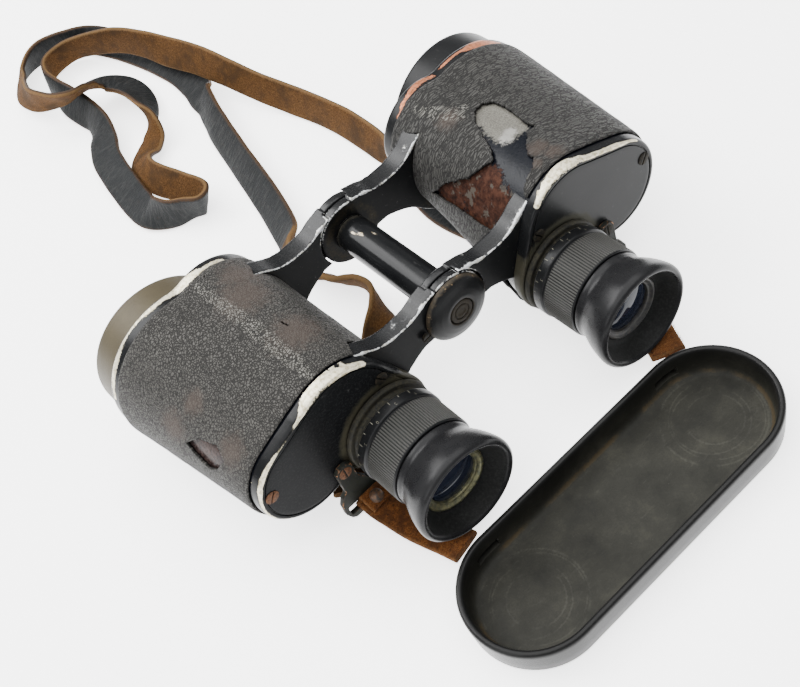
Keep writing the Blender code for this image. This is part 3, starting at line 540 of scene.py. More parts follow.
# Lacquers: metal below, roughness, dust on flat parts, its colour and the shine
LACQUERS = {
    "cap_lacquer": (CREAM, 0.20, 0.3, (0.050, 0.046, 0.030)),
    # left_plate is the cap lacquer with far less shine, a darker copy as painted shade; right_plate is
    # lighter, with more dust colour and more shine.
    "left_plate": (CREAM, 0.22, 0.3, (0.050, 0.046, 0.030), 0.035),
    "right_plate": (CREAM, 0.26, 0.6, (0.050, 0.048, 0.034), 0.09),
    # The arms' side faces take this shaded copy of arm_lacquer: far less shine and a darker dust colour, as
    # painted shade.
    "shaded_web_lacquer": (SILVER, 0.30, 0.6, (0.050, 0.040, 0.024), 0.035),
    "copper_lacquer": (COPPER, 0.24),
    "arm_lacquer": (SILVER, 0.22, 0.4, (0.062, 0.052, 0.034), 0.17),
    "lug_paint": ((0.30, 0.15, 0.08), 0.38, 0.8, (0.024, 0.026, 0.018)),
    "knurl_lacquer": ((0.20, 0.20, 0.19), 0.26, 0.3, (0.062, 0.061, 0.056), 0.12),
    "tube_lacquer": ((0.42, 0.36, 0.27), 0.10, 0.2),
    "disc_lacquer": ((0.26, 0.19, 0.12), 0.32, 0.9, (0.055, 0.044, 0.030)),
    "nut_brown": ((0.16, 0.12, 0.08), 0.45, 1.0, (0.040, 0.033, 0.024)),
    "grimy_base": ((0.20, 0.16, 0.10), 0.5, 1.0, (0.055, 0.050, 0.032)),
    "black_ring": ((0.45, 0.42, 0.36), 0.30, 0.4),
}
# Metals: colour and stain, roughness, metallic, stains per mm and the shine
METALS = {
    "cell_black": ((0.020, 0.020, 0.021), (0.045, 0.042, 0.036), 0.4, 0.4),
    "brassy_ring": ((0.17, 0.16, 0.085), (0.06, 0.065, 0.045), 0.32, 0.7),
    "rusty_screw": ((0.105, 0.046, 0.022), (0.026, 0.016, 0.011), 0.65, 0.1, 1.6, 0.12),
    "dark_screw": ((0.006, 0.0058, 0.0054), (0.022, 0.018, 0.012), 0.5, 0.0, 1.6, 0.05),
    "stud_metal": ((0.030, 0.026, 0.022), (0.12, 0.060, 0.030), 0.45, 0.6, 1.2),
    "brass_inside": ((0.30, 0.22, 0.09), (0.10, 0.08, 0.04), 0.4, 0.9),
    "spring_steel": ((0.40, 0.40, 0.41), (0.18, 0.17, 0.16), 0.35, 0.9),
}
# Matt finishes: colour and roughness
MATT = {
    "funnel_black": ((0.0075, 0.0077, 0.0075), 0.55),
    "white_marks": ((0.135, 0.130, 0.105), 0.7),
}


def black_lacquer(name, bare=(0.62, 0.60, 0.54), shine=0.22, grime=0.35, dust=(0.060, 0.056, 0.042),
                  specular=0.10):
    """Old black lacquer over metal: worn through where 'wear' is high, dusty where 'grime' is high."""
    g = Graph(name)
    broad = g.noise(0.12, 4.0)
    chip = g.noise(0.45, 3.0, rough=0.6)
    fine = g.noise(1.4, 5.0, rough=0.65)
    scratch = g.noise(0.5, 6.0, g.stretch(g.mm, (1.0, 0.12, 1.0), 25.0), rough=0.7)
    paint = g.mix(broad, (0.0030, 0.0032, 0.0036), (0.0085, 0.0088, 0.0092))
    paint = g.mix(g.step(scratch, 0.62, 0.76), paint, (0.040, 0.040, 0.039))
    paint = g.mix(g.step(g.noise(2.6, 3.0, rough=0.7), 0.66, 0.74), paint, (0.050, 0.049, 0.046))
    soil_value = g.add(g.attribute("grime"), g.sway(fine, 0.8))
    soil_value = g.add(soil_value, g.sway(chip, 0.8))
    soil = g.mul(g.step(soil_value, 0.25, 1.0), 0.9)
    soil = g.add(soil, g.mul(g.step(fine, 0.55, 0.85), grime * 0.3), clamp=True)
    colour = g.mix(soil, paint, g.mix(chip, dust, tuple(0.45 * c for c in dust)))
    worn_value = g.add(g.attribute("wear"), g.sway(chip, 0.75))
    worn_value = g.add(worn_value, g.sway(fine, 0.75))
    worn = g.step(worn_value, 0.50, 0.56)
    halo = g.step(worn_value, 0.34, 0.52)
    stained = (0.50 * bare[0], 0.47 * bare[1], 0.38 * bare[2])
    metal = g.mix(g.step(g.noise(0.9, 4.0, rough=0.7), 0.42, 0.66), bare, stained)
    colour = g.mix(g.mul(halo, 0.35), colour, tuple(0.22 * c for c in bare))
    colour = g.mix(worn, colour, metal)
    rough = g.blend(worn, g.add(g.mul(fine, 0.10), g.mul(soil, 0.35)), 0.14)
    rough = g.add(rough, shine, clamp=True)
    height = g.math("SUBTRACT", g.mul(fine, 0.25), worn)
    return g.done(colour, rough, g.mul(worn, 0.35), g.bump(height, 0.06), Specular_IOR_Level=specular)


def leatherette(name, pale, dark, turn, stretch, per_mm):
    """Pressed grain of small pebbles between dark wavy lines, the pebble tops carrying a mottled painted
    highlight, with rubbed and bald brownish areas.
    """
    g = Graph(name)
    swirl = g.noise(0.10, 3.0, g.uv)
    bend = g.noise(0.35, 3.0, g.uv)
    shift = g.new("CombineXYZ", {0: g.mul(swirl, 3.0), 1: g.mul(bend, 2.2)}).outputs[0]
    along = g.stretch(g.uv, (stretch, 1.0, 1.0), turn)
    flow = g.new("VectorMath", {0: along, 1: shift}, operation="ADD").outputs[0]
    fine = g.noise(3.2, 4.0, g.uv, rough=0.65)
    tone = g.noise(0.07, 3.0, g.uv)
    mottle = g.noise(0.50, 5.0, g.uv, rough=0.65)
    edge = g.crackle(per_mm, flow, 0.95)
    pebble = g.step(g.add(edge, g.sway(fine, 0.16)), 0.015, 0.20)
    bald = g.patch("bald", mottle, 1.0, 0.25, 0.85)
    # Painted highlight: the pebble tops are brightened towards the pale tone in mottled patches; the lines
    # between stay dark.
    pebble_highlight = g.mul(pebble, g.add(0.10, g.mul(mottle, 1.15)), clamp=True)
    pebble_highlight = g.mul(pebble_highlight, g.add(0.55, g.mul(fine, 0.9)), clamp=True)
    colour = g.mix(pebble_highlight, dark, g.mix(tone, tuple(0.72 * c for c in pale), tuple(1.25 * c for c in pale)))
    brown = g.mix(fine, (0.026, 0.020, 0.0165), (0.062, 0.047, 0.039))
    colour = g.mix(g.mul(bald, 0.70), colour, brown)
    rub = g.mul(g.patch("rub", mottle, 1.3, 0.35, 0.95), g.step(pebble, 0.35, 0.95))
    colour = g.mix(g.mul(rub, 0.65), colour, (0.165, 0.160, 0.142))
    dust = g.step(g.noise(4.5, 2.0, g.uv, rough=0.8), 0.66, 0.76)
    colour = g.mix(g.mul(dust, 0.45), colour, (0.110, 0.105, 0.095))
    deep = g.mul(g.math("SUBTRACT", 1.0, pebble), g.blend(bald, 1.0, 0.35))
    height = g.add(g.math("SUBTRACT", 1.0, deep), g.mul(fine, 0.35))
    rough = g.math("SUBTRACT", 0.74, g.mul(pebble, 0.18))
    return g.done(colour, rough, 0.0, g.bump(height, 0.20), Specular_IOR_Level=0.12)


def casting():
    """The housing where the covering is gone: glossy black paint, bare grey metal and brown rust."""
    g = Graph("casting")
    fine = g.noise(1.1, 5.0, rough=0.65)
    grit = g.noise(3.2, 4.0, rough=0.7)
    broad = g.noise(0.25, 4.0)
    paint = g.mix(broad, (0.0022, 0.0027, 0.0042), (0.0066, 0.0075, 0.0105))
    bare = g.patch("bare", fine, 0.9, 0.30, 0.62)
    grey = g.mix(g.step(grit, 0.30, 0.72), (0.066, 0.062, 0.050), (0.185, 0.178, 0.158))
    silver = g.patch("silver", fine, 0.9, 0.35, 0.75)
    grey = g.mix(g.mul(silver, 0.7), grey, (0.290, 0.285, 0.268))
    colour = g.mix(bare, paint, grey)
    rust = g.patch("rust", fine, 0.7, 0.25, 0.45)
    stain = g.noise(0.55, 6.0, rough=0.7)
    red = g.ramp(stain, ((0.34, (0.0068, 0.0033, 0.0024)), (0.48, (0.025, 0.0092, 0.0055)),
                         (0.62, (0.048, 0.0195, 0.0115))))
    red = g.mix(g.mul(g.step(grit, 0.56, 0.68), 0.6), red, (0.010, 0.005, 0.004))
    red = g.mix(g.step(g.noise(0.30, 4.0, rough=0.6), 0.56, 0.62), red, (0.052, 0.044, 0.036))
    colour = g.mix(rust, colour, red)
    colour = g.mix(g.mul(g.attribute("pink"), 0.9), colour,
                   g.mix(g.step(fine, 0.35, 0.70), (0.019, 0.0115, 0.0095), (0.058, 0.037, 0.031)))
    rough = g.blend(rust, g.blend(bare, 0.14, 0.50), 0.72)
    return g.done(colour, rough, g.mul(bare, 0.35), g.bump(g.add(fine, rust), 0.10),
                  Specular_IOR_Level=0.08)


def olive_lacquer():
    """Olive lacquer of the left objective ring, darker where it is worn."""
    g = Graph("olive_lacquer")
    fine = g.noise(1.6, 5.0, rough=0.65)
    broad = g.noise(0.15, 4.0)
    colour = g.mix(broad, (0.038, 0.030, 0.0165), (0.061, 0.050, 0.028))
    colour = g.mix(g.mul(g.step(fine, 0.56, 0.75), 0.5), colour, (0.026, 0.022, 0.0165))
    worn = g.step(g.add(g.attribute("wear"), g.mul(fine, 0.4)), 0.55, 0.75)
    colour = g.mix(worn, colour, (0.022, 0.020, 0.0165))
    return g.done(colour, g.add(0.38, g.mul(fine, 0.2)), 0.15, g.bump(fine, 0.03), Specular_IOR_Level=0.2)


def metal(name, colour, dark, roughness=0.35, metallic=0.9, per_mm=0.8, specular=0.5):
    """Plain or plated metal with stains and fine marks."""
    g = Graph(name)
    stain = g.noise(per_mm, 5.0, rough=0.62)
    mark = g.noise(per_mm * 5, 3.0)
    tone = g.mix(g.step(stain, 0.35, 0.7), colour, dark)
    rough = g.add(roughness, g.mul(mark, 0.2))
    return g.done(tone, rough, metallic, g.bump(mark, 0.02), Specular_IOR_Level=specular)


def suede():
    """Fuzzy rough leather, orange brown, blotched and speckled with dark dirt."""
    g = Graph("suede")
    nap = g.noise(2.4, 6.0, rough=0.78)
    patch = g.noise(0.22, 4.0, rough=0.6)
    speck = g.step(g.noise(1.5, 5.0, rough=0.75), 0.54, 0.64)
    colour = g.ramp(nap, ((0.32, (0.021, 0.0070, 0.0028)), (0.50, (0.105, 0.036, 0.0098)),
                          (0.70, (0.238, 0.105, 0.032))))
    colour = g.mix(g.step(patch, 0.42, 0.66), colour, (0.049, 0.0182, 0.0070))
    colour = g.mix(g.mul(speck, 0.85), colour, (0.0084, 0.0042, 0.0028))
    edge = g.step(g.attribute("edge"), 0.80, 1.0)
    colour = g.mix(g.mul(edge, 0.35), colour, (0.168, 0.087, 0.034))
    return g.done(colour, 0.92, 0.0, g.bump(nap, 0.45), Specular_IOR_Level=0.08, Sheen_Weight=0.10,
                  Sheen_Roughness=0.5, Sheen_Tint=(0.80, 0.45, 0.22))


def strap_back():
    """The flesh side of the neck strap: orange brown and fuzzy, blotched with dirt, tan at its edges."""
    g = Graph("strap_back")
    nap = g.noise(2.0, 6.0, rough=0.75)
    long = g.noise(0.14, 4.0, rough=0.6)
    colour = g.ramp(nap, ((0.30, (0.0135, 0.0060, 0.0024)), (0.50, (0.058, 0.027, 0.0085)),
                          (0.72, (0.118, 0.060, 0.021))))
    colour = g.mix(g.mul(g.step(long, 0.44, 0.68), 0.8), colour, (0.026, 0.0145, 0.0066))
    speck = g.step(g.noise(1.2, 4.0, rough=0.7), 0.58, 0.70)
    colour = g.mix(g.mul(speck, 0.7), colour, (0.0088, 0.0044, 0.0028))
    edge = g.patch("edge", nap, 0.3, 0.84, 1.0)
    colour = g.mix(g.mul(edge, 0.6), colour, (0.138, 0.083, 0.037))
    return g.done(colour, 0.88, 0.0, g.bump(nap, 0.28), Specular_IOR_Level=0.08)


def strap_face():
    """The grain side of the neck strap: blue black, creased across, greyed on the creases."""
    g = Graph("strap_face")
    crease = g.noise(0.9, 5.0, g.stretch(g.uv, (1.0, 0.20, 1.0), 12.0), rough=0.65)
    crack = g.crackle(0.55, g.stretch(g.uv, (1.0, 0.35, 1.0), 20.0), 1.0)
    pore = g.noise(2.4, 4.0)
    high = g.step(crease, 0.50, 0.70)
    colour = g.mix(g.noise(0.1, 3.0), (0.0038, 0.0044, 0.0050), (0.0105, 0.0115, 0.0120))
    colour = g.mix(g.mul(high, 0.8), colour, (0.022, 0.0225, 0.0225))
    colour = g.mix(g.mul(g.step(crack, 0.10, 0.02), 0.16), colour, (0.038, 0.037, 0.034))
    worn = g.step(g.noise(0.5, 5.0, rough=0.7), 0.62, 0.72)
    colour = g.mix(g.mul(worn, 0.55), colour, (0.024, 0.0165, 0.0105))
    edge = g.patch("edge", pore, 0.3, 0.86, 1.0)
    colour = g.mix(g.mul(edge, 0.8), colour, (0.045, 0.023, 0.0102))
    height = g.add(crease, g.mul(pore, 0.3))
    return g.done(colour, g.add(0.45, g.mul(pore, 0.2)), 0.0, g.bump(height, 0.34), Specular_IOR_Level=0.10)


def bakelite():
    """Moulded black plastic of the eyecups, a little hazed, with fine scratches."""
    g = Graph("cup_bakelite")
    haze = g.noise(0.2, 4.0)
    fine = g.noise(3.0, 4.0, rough=0.7)
    line = g.step(g.noise(0.7, 5.0, g.stretch(g.mm, (1.0, 0.1, 1.0), 40.0), rough=0.7), 0.60, 0.72)
    colour = g.mix(haze, (0.0055, 0.0055, 0.006), (0.013, 0.013, 0.0135))
    colour = g.mix(g.mul(line, 0.4), colour, (0.040, 0.039, 0.037))
    rough = g.add(0.14, g.mul(g.add(fine, haze), 0.14))
    return g.done(colour, rough, 0.0, g.bump(fine, 0.02), Specular_IOR_Level=0.10)


def guard_plastic():
    """The guard: black outside, dusty olive with round scuffs inside, rusty at the wall's foot."""
    g = Graph("guard_plastic")
    dusty = g.attribute("dust")
    haze = g.noise(0.09, 5.0, rough=0.6)
    fine = g.noise(1.8, 5.0, rough=0.7)
    outside = g.mix(haze, (0.0039, 0.0039, 0.0039), (0.0090, 0.0090, 0.0087))
    inside = g.ramp(g.add(g.mul(haze, 0.7), g.mul(fine, 0.3)),
                    ((0.32, (0.0075, 0.0075, 0.0060)), (0.52, (0.0156, 0.0153, 0.0120)),
                     (0.74, (0.031, 0.030, 0.023))))
    colour = g.mix(dusty, outside, inside)
    scuff = 0.0
    run = GUARD_RUN + 1.0
    for end in (-1, 1):
        for radius, width, shift in GUARD_SCUFFS:
            centre = (GUARD_CENTRE[0] + end * run + shift, GUARD_CENTRE[1] - 0.5 * shift, 2.0)
            scuff = g.math("MAXIMUM", scuff, g.ring(centre, radius, width))
    scuff = g.step(g.add(scuff, g.sway(fine, 1.6)), 0.55, 1.10)
    colour = g.mix(g.mul(g.mul(scuff, dusty), g.mul(g.step(haze, 0.42, 0.60), 0.34)), colour,
                   (0.046, 0.045, 0.037))
    swirl = g.step(g.noise(0.8, 6.0, g.stretch(g.mm, (0.25, 1.0, 1.0), 35.0), rough=0.75), 0.56, 0.72)
    colour = g.mix(g.mul(g.mul(swirl, dusty), 0.28), colour, (0.040, 0.039, 0.032))
    speck = g.step(g.noise(2.6, 3.0, rough=0.8), 0.67, 0.74)
    colour = g.mix(g.mul(speck, 0.5), colour, (0.072, 0.069, 0.057))
    rust = g.mul(g.patch("rust", fine, 0.9, 0.45, 0.75), g.step(haze, 0.40, 0.58))
    colour = g.mix(g.mul(rust, 0.8), colour, (0.036, 0.0265, 0.0135))
    rough = g.blend(dusty, g.add(0.24, g.mul(fine, 0.15)), g.add(0.50, g.mul(fine, 0.2)))
    return g.done(colour, rough, 0.0, g.bump(fine, 0.04), Specular_IOR_Level=0.12)


def lens():
    """Glass over the dark inside of a tube, with faint dust."""
    g = Graph("lens")
    dust = g.step(g.noise(1.6, 5.0, rough=0.7), 0.62, 0.80)
    colour = g.mix(g.mul(dust, 0.2), (0.010, 0.012, 0.020), (0.16, 0.16, 0.14))
    return g.done(colour, g.add(0.03, g.mul(dust, 0.15)), 0.0, None, Coat_Weight=0.12,
                  Coat_Roughness=0.02, Coat_Tint=(0.80, 0.90, 0.95), Specular_IOR_Level=0.12)


def flat_dark(name, colour, rough):
    """Matt black of the inside of eyecups and tubes, with a little dust."""
    g = Graph(name)
    fine = g.noise(1.5, 5.0, rough=0.7)
    speckled = g.mix(g.step(fine, 0.4, 0.8), colour, tuple(2.6 * c for c in colour))
    return g.done(speckled, rough, 0.0, g.bump(fine, 0.03), Specular_IOR_Level=0.08)


def materials():
    """Every material by its name."""
    kit = {}
    for build, looks in ((leatherette, LEATHERETTES), (black_lacquer, LACQUERS), (metal, METALS),
                         (flat_dark, MATT)):
        for name, values in looks.items():
            kit[name] = build(name, *values)
    for name, build in (("casting", casting), ("olive_ring", olive_lacquer), ("suede", suede),
                        ("strap_face", strap_face), ("strap_back", strap_back), ("cup_bakelite", bakelite),
                        ("guard_plastic", guard_plastic), ("lens", lens)):
        kit[name] = build()
    return kit


# ---------------------------------------------------------------- barrels

# Edge of the torn covering on the right barrel: (angle in degrees, y), from the oval round to the seam
TEAR = ((99.5, 8.2), (94.5, 10.2), (87.5, 10.6), (82.0, 7.8), (80.0, 3.4), (80.5, -2.2), (81.0, -6.6),
        (77.5, -9.0), (82.5, -9.1), (87.0, -9.4), (92.5, -11.6), (96.5, -13.4), (100.5, -16.2),
        (99.5, -18.2), (105.5, -20.2), (113.5, -21.0), (119.0, -21.6), (125.0, -24.5), (165.0, -24.5),
        (160.0, -13.8), (161.0, -2.2), (163.0, 11.8), (155.0, 8.6), (147.0, 5.4), (141.5, 1.8),
        (135.5, -2.2), (129.0, -4.4), (124.0, -5.8), (116.5, -7.8), (111.5, -5.0), (109.5, -2.2),
        (108.0, 0.2), (104.5, 4.6))
# The small tear low on the left barrel
LEFT_TEAR = ((18.0, 0.4), (25.5, -4.2), (28.5, -10.8), (23.0, -15.0), (15.5, -12.6), (11.5, -9.4),
             (14.5, -3.0))
# Rubbed pale places of the covering: a line of (angle, y, half width) and separate (angle, y, radius)
LEFT_RUB_LINE = ((99, 28, 1.4), (99, 20, 2.0), (98.5, 12, 2.2), (98, 4, 2.4), (97, -4, 2.6),
                 (95.5, -12, 2.4), (94, -20, 2.0), (93, -23, 1.2))
RIGHT_RUB_LINE = ((118, 26, 1.6), (114, 20, 2.6), (109, 15, 3.0), (104, 12, 2.0), (99, 14, 1.4))
LEFT_RUBS = ((84.5, 25, 6.0), (78, 10, 6.0), (70, 28, 5.0), (66, -2, 7.0), (74, -16, 6.0), (52, 8, 6.0),
             (50, -18, 6.0))
RIGHT_RUBS = ((100, 22, 7.0), (122, 2, 6.0), (60, 4, 6.0), (48, -12, 6.0))
LEFT_BALD = ((112, 14, 15.0), (112, -8, 14.0), (122, 22, 12.0), (30, -16, 9.0), (22, 6, 9.0), (40, 2, 7.0))
RIGHT_BALD = ((93, -16.5, 6.5), (88, -21, 6.0), (103, -20.0, 4.0), (112, 14, 7.0))

# What the tears show, each as (angle, y, radius): bare metal, its brightest part, rust, a pinkish rest
RIGHT_BARE_PLACES = (((92, 5, 9.0), (94, 0, 9.0), (97, -4, 6.5), (88, 8, 7.0), (84, 4, 6.0), (84, -1, 6.0),
                      (87, -5, 5.0)),
                     ((94, -4.5, 4.0), (99, -5.5, 4.5), (103, -6, 3.0)),
                     ((138, -3, 10.0), (150, 4, 11.0), (148, -8, 12.0), (158, -10, 9.0), (131, -9.0, 8.0),
                      (140, -16, 9.0)),
                     ())
LEFT_BARE_PLACES = ((), (), (), ((20, -7, 14.0),))


def inside(angles, y, outline):
    """Which points (angle, y) lie inside a closed outline."""
    angles, y = np.broadcast_arrays(angles, y)
    hit = np.zeros(angles.shape, dtype=bool)
    for (a0, y0), (a1, y1) in zip(outline, outline[1:] + outline[:1]):
        crosses = (y0 > y) != (y1 > y)
        where = a0 + (y - y0) * (a1 - a0) / ((y1 - y0) or 1e-9)
        hit ^= crosses & (angles < where)
    return hit


def ragged(outline, seed, amount):
    """The same outline with small tears along its edge."""
    per_span = 6
    count = len(outline)
    result = []
    for k in range(count):
        (a0, y0), (a1, y1) = outline[k], outline[(k + 1) % count]
        for step in range(per_span):
            t = step / per_span
            a, y = a0 + (a1 - a0) * t, y0 + (y1 - y0) * t
            jag = noise.noise_vector(Vector((a * 0.9, y * 1.7, seed)))
            result.append((a + jag.x * amount * 2.2, y + jag.y * amount))
    return tuple(result)


def skin_spots(points, side, places, inset=-0.8):
    return spots(points, [(*on_skin(angle, y, side, inset), radius) for angle, y, radius in places])


def skin_band(points, side, path, inset=0.1):
    """1 along a worn line (angle, y, half width) on a barrel, falling to 0 at 1.6 half widths."""
    value = np.zeros(len(points))
    for angle, y, half in through(path, 10):
        distance = np.linalg.norm(points - on_skin(angle, y, side, inset), axis=1)
        value = np.maximum(value, np.clip(1.6 - distance / half, 0.0, 1.0))
    return value


def leather_covering(side, label, material):
    """The covering: a thick sheet round the housing, notched at the arms and torn open in places."""
    rear, front = COVER_Y
    rings = []
    stations = np.linspace(rear, front, 185)
    for y in stations:
        from_end = min(y - rear, front - y)
        rings.append(section(y, side, 0.45 * math.exp(-from_end / 0.5) - 1.0))
    points, faces = skin(rings)
    points = np.asarray(points)
    uv = around_uv(rings)
    degrees = np.degrees(SECTION_ANGLES)
    holes = [ragged(TEAR, 3.0, 0.5)] if side > 0 else [ragged(LEFT_TEAR, 5.0, 0.35)]
    if side < 0:
        holes += [((106.0, 29.0), (107.4, 29.0), (107.4, 28.3), (106.0, 28.3)),
                  ((110.2, -2.2), (111.6, -2.2), (112.8, -4.8), (111.2, -4.8))]
    count = len(degrees)
    rows, columns = np.divmod(np.arange(count * (len(stations) - 1)), count)
    angle, y = degrees[columns] + 0.25, (stations[rows] + stations[rows + 1]) / 2
    gone = np.zeros(len(angle), dtype=bool)
    for hole in holes:
        gone |= inside(angle, y, hole)
    for y0, y1 in (FRONT_ARM_Y, REAR_ARM_Y):
        middle = points[columns + rows * count]
        near = np.abs(middle[:, 0]) < 31.8 - 0.35 * (y - y0)
        gone |= near & (y > y0 - 0.5) & (y < y1 + 0.5) & (middle[:, 2] > -20.0)
    faces = [face for face, out in zip(faces, gone) if not out]
    centre = np.array((side * 48.0, 0.0, -8.0))
    wavy = np.array([noise.noise(Vector(p) * 0.16) for p in points.tolist()])
    outward = points - centre
    outward[:, 1] = 0.0
    outward /= np.linalg.norm(outward, axis=1, keepdims=True)
    points = points + outward * (wavy * 0.12 - 0.05)[:, None]
    obj = make(f"{label}_covering", points, faces, material, uv=uv)
    work = bmesh.new()
    work.from_mesh(obj.data)
    bmesh.ops.delete(work, geom=[v for v in work.verts if not v.link_faces], context="VERTS")
    work.to_mesh(obj.data)
    work.free()
    place = points_of(obj)
    rub_line, rubs = (LEFT_RUB_LINE, LEFT_RUBS) if side < 0 else (RIGHT_RUB_LINE, RIGHT_RUBS)
    streak = skin_band(place, side, rub_line, -0.8)
    store(obj, "rub", np.maximum(0.75 * streak, 0.42 * skin_spots(place, side, rubs)))
    store(obj, "bald", skin_spots(place, side, LEFT_BALD if side < 0 else RIGHT_BALD))
    thick = obj.modifiers.new("thickness", "SOLIDIFY")
    thick.thickness = 0.75 * MM
    thick.offset = -1.0
    bpy.context.view_layer.update()
    return applied(obj)


def bare_housing(side, label, material):
    """What shows where the covering is gone: the painted casting with a bare oval and a rusty patch."""
    rings = [section(y, side, 0.25) for y in np.linspace(-24.5, 31.4, 112)]
    points, faces = skin(rings)
    obj = make(f"{label}_casting", points, faces, material, uv=around_uv(rings))
    place = points_of(obj)
    shown = RIGHT_BARE_PLACES if side > 0 else LEFT_BARE_PLACES
    for layer, places in zip(("bare", "silver", "rust", "pink"), shown):
        store(obj, layer, skin_spots(place, side, places, 0.25))
    return obj


def arm_piece(side, label, end, material, web):
    """One hinge arm: a web between the barrel and its knuckle, with soft cast edges."""
    y0, y1 = FRONT_ARM_Y if end == "front" else REAR_ARM_Y
    middle = (y0 + y1) / 2
    near_half = 1 if end == "front" else -1
    own = (y0 + 0.06, middle - 0.22) if side == near_half else (middle + 0.22, y1 - 0.06)
    free = (middle - 0.2, y1 + 1.0) if side == near_half else (y0 - 1.0, middle + 0.2)
    top, bottom = through(ARM_TOP, 5), through(ARM_BOTTOM, 5)
    outline = [tuple(p) for p in np.vstack([top, bottom])]
    arm = slab(f"{label}_{end}_arm", outline, (y0, y1), material, side)
    boolean(arm, disc("clear", KNUCKLE_CLEAR_R, free, material), "DIFFERENCE")
    boolean(arm, disc("knuckle", KNUCKLE_R, own, material), "UNION")
    boolean(arm, disc("bore", 5.0, (y0 - 1.0, y1 + 1.0), material), "DIFFERENCE")
    soften(arm, 0.3)
    place = points_of(arm)
    fold = np.clip(sharpness(arm, 3) * 1.3, 0.0, 1.0)
    upper = np.clip((place[:, 2] + 1.0) / 6.0, 0.0, 1.0)
    rear_edge = 0.42 + 0.58 * np.clip((middle - place[:, 1]) / (y1 - y0) * 2.0 + 0.2, 0.0, 1.0)
    store(arm, "wear", np.clip(fold * upper * rear_edge * 0.60 + arm_wear(place, side, end), 0.0, 1.0))
    axis_distance = np.hypot(place[:, 0], place[:, 2])
    facing = np.abs(place[:, 1] - middle) > (y1 - y0) / 2 - 0.5
    store(arm, "grime", facing * (0.55 * bell(axis_distance, 8.0, 2.5)
                                  + 0.35 * np.clip((axis_distance - 18.0) / 10.0, 0.0, 1.0)))
    # Painted shade: faces along Y get the darker, less shiny copy of the arm lacquer.
    arm.data.materials.append(web)
    for polygon in arm.data.polygons:
        polygon.material_index = 1 if abs(polygon.normal.y) > 0.75 else 0
    return arm


# Bare places of some arms: x, y from the arm's rear face, z and radius
ARM_BARE = {
    (1, "rear"): ((26.5, 0.6, 9.6, 4.2), (29.0, 0.8, 11.2, 4.0), (24.0, 1.4, 8.2, 3.0),
                  (12.0, 0.3, 7.8, 2.4)),
    (-1, "rear"): ((-17.0, 3.2, 7.2, 3.4), (-13.5, 2.2, 7.6, 3.0), (-29.0, 0.2, 11.0, 1.6)),
    (1, "front"): ((27.0, 2.0, 10.0, 4.0), (31.0, 3.5, 12.0, 4.0)),
}


def arm_wear(place, side, end):
    """Extra bare metal on an arm: the corners beside its knuckle and the places listed for it."""
    start = REAR_ARM_Y[0] if end == "rear" else FRONT_ARM_Y[0]
    corners = ((side * 9.0, 0.6, 8.9, 2.2), (side * 9.6, 4.4, 8.4, 1.6)) + ARM_BARE.get((side, end), ())
    return 0.50 * spots(place, [(x, start + y, z, radius) for x, y, z, radius in corners])


def disc(name, radius, y_range, material):
    """A flat cylinder about the hinge axis."""
    outline = [(radius * math.cos(a), radius * math.sin(a)) for a in np.arange(96) * math.pi / 48]
    return slab(name, outline, y_range, material)


# Bare metal along the rims, as lines of (angle, y, half width), and separate chips (angle, y, radius)
REAR_WEAR_LEFT = ((124, -27.8, 0.9), (116, -27.8, 1.1), (108, -27.4, 1.4), (104, -27.0, 1.5),
                  (98, -26.6, 1.8), (92, -26.2, 1.9), (86, -26.2, 1.9), (80, -26.5, 1.6), (74, -27.2, 1.1),
                  (69, -27.8, 0.6), (60, -28.1, 0.28), (50, -28.15, 0.25), (42, -28.1, 0.32),
                  (35, -28.0, 0.5), (28, -27.9, 0.65), (20, -27.9, 0.70), (12, -28.0, 0.60),
                  (4, -28.1, 0.48), (-5, -28.15, 0.40), (-15, -28.15, 0.30), (-26, -28.1, 0.3))
REAR_WEAR_RIGHT = ((124, -27.6, 0.8), (118, -27.2, 0.9), (112, -26.8, 1.1), (106, -26.5, 1.5),
                   (100, -26.4, 1.7), (94, -26.4, 1.7), (88, -26.6, 1.5), (82, -27.0, 1.2),
                   (74, -27.6, 0.9), (66, -27.9, 0.75), (56, -28.0, 0.75), (46, -28.0, 0.75),
                   (36, -28.1, 0.6), (26, -28.1, 0.35))
REAR_CHIPS_LEFT = ((112, -25.0, 1.4), (106, -24.8, 1.8), (101, -25.2, 1.8), (20, -24.9, 0.6))
REAR_CHIPS_RIGHT = ((116, -26.0, 1.3), (110, -25.4, 1.2))
FRONT_WEAR_LEFT = ((134, 31.7, 0.35), (126, 31.9, 0.5), (118, 32.3, 0.7), (110, 32.6, 0.9),
                   (104, 33.0, 1.3), (98, 33.4, 1.6), (92, 33.7, 1.5), (86, 33.8, 1.1), (78, 33.9, 0.8),
                   (68, 34.2, 0.6), (58, 34.4, 0.5), (46, 34.4, 0.5), (32, 34.2, 0.7), (20, 33.9, 0.8),
                   (10, 33.8, 0.6))
FRONT_WEAR_RIGHT = ((130, 31.7, 0.4), (124, 32.0, 0.5), (118, 32.6, 0.7), (112, 33.2, 0.9),
                    (106, 33.6, 1.1), (100, 33.8, 1.0), (94, 33.4, 0.8), (88, 33.2, 0.5), (80, 33.6, 0.35),
                    (70, 33.8, 0.4), (60, 33.4, 0.9), (53, 33.4, 1.5), (46, 33.2, 1.7), (39, 32.8, 1.3),
                    (32, 32.4, 0.8))


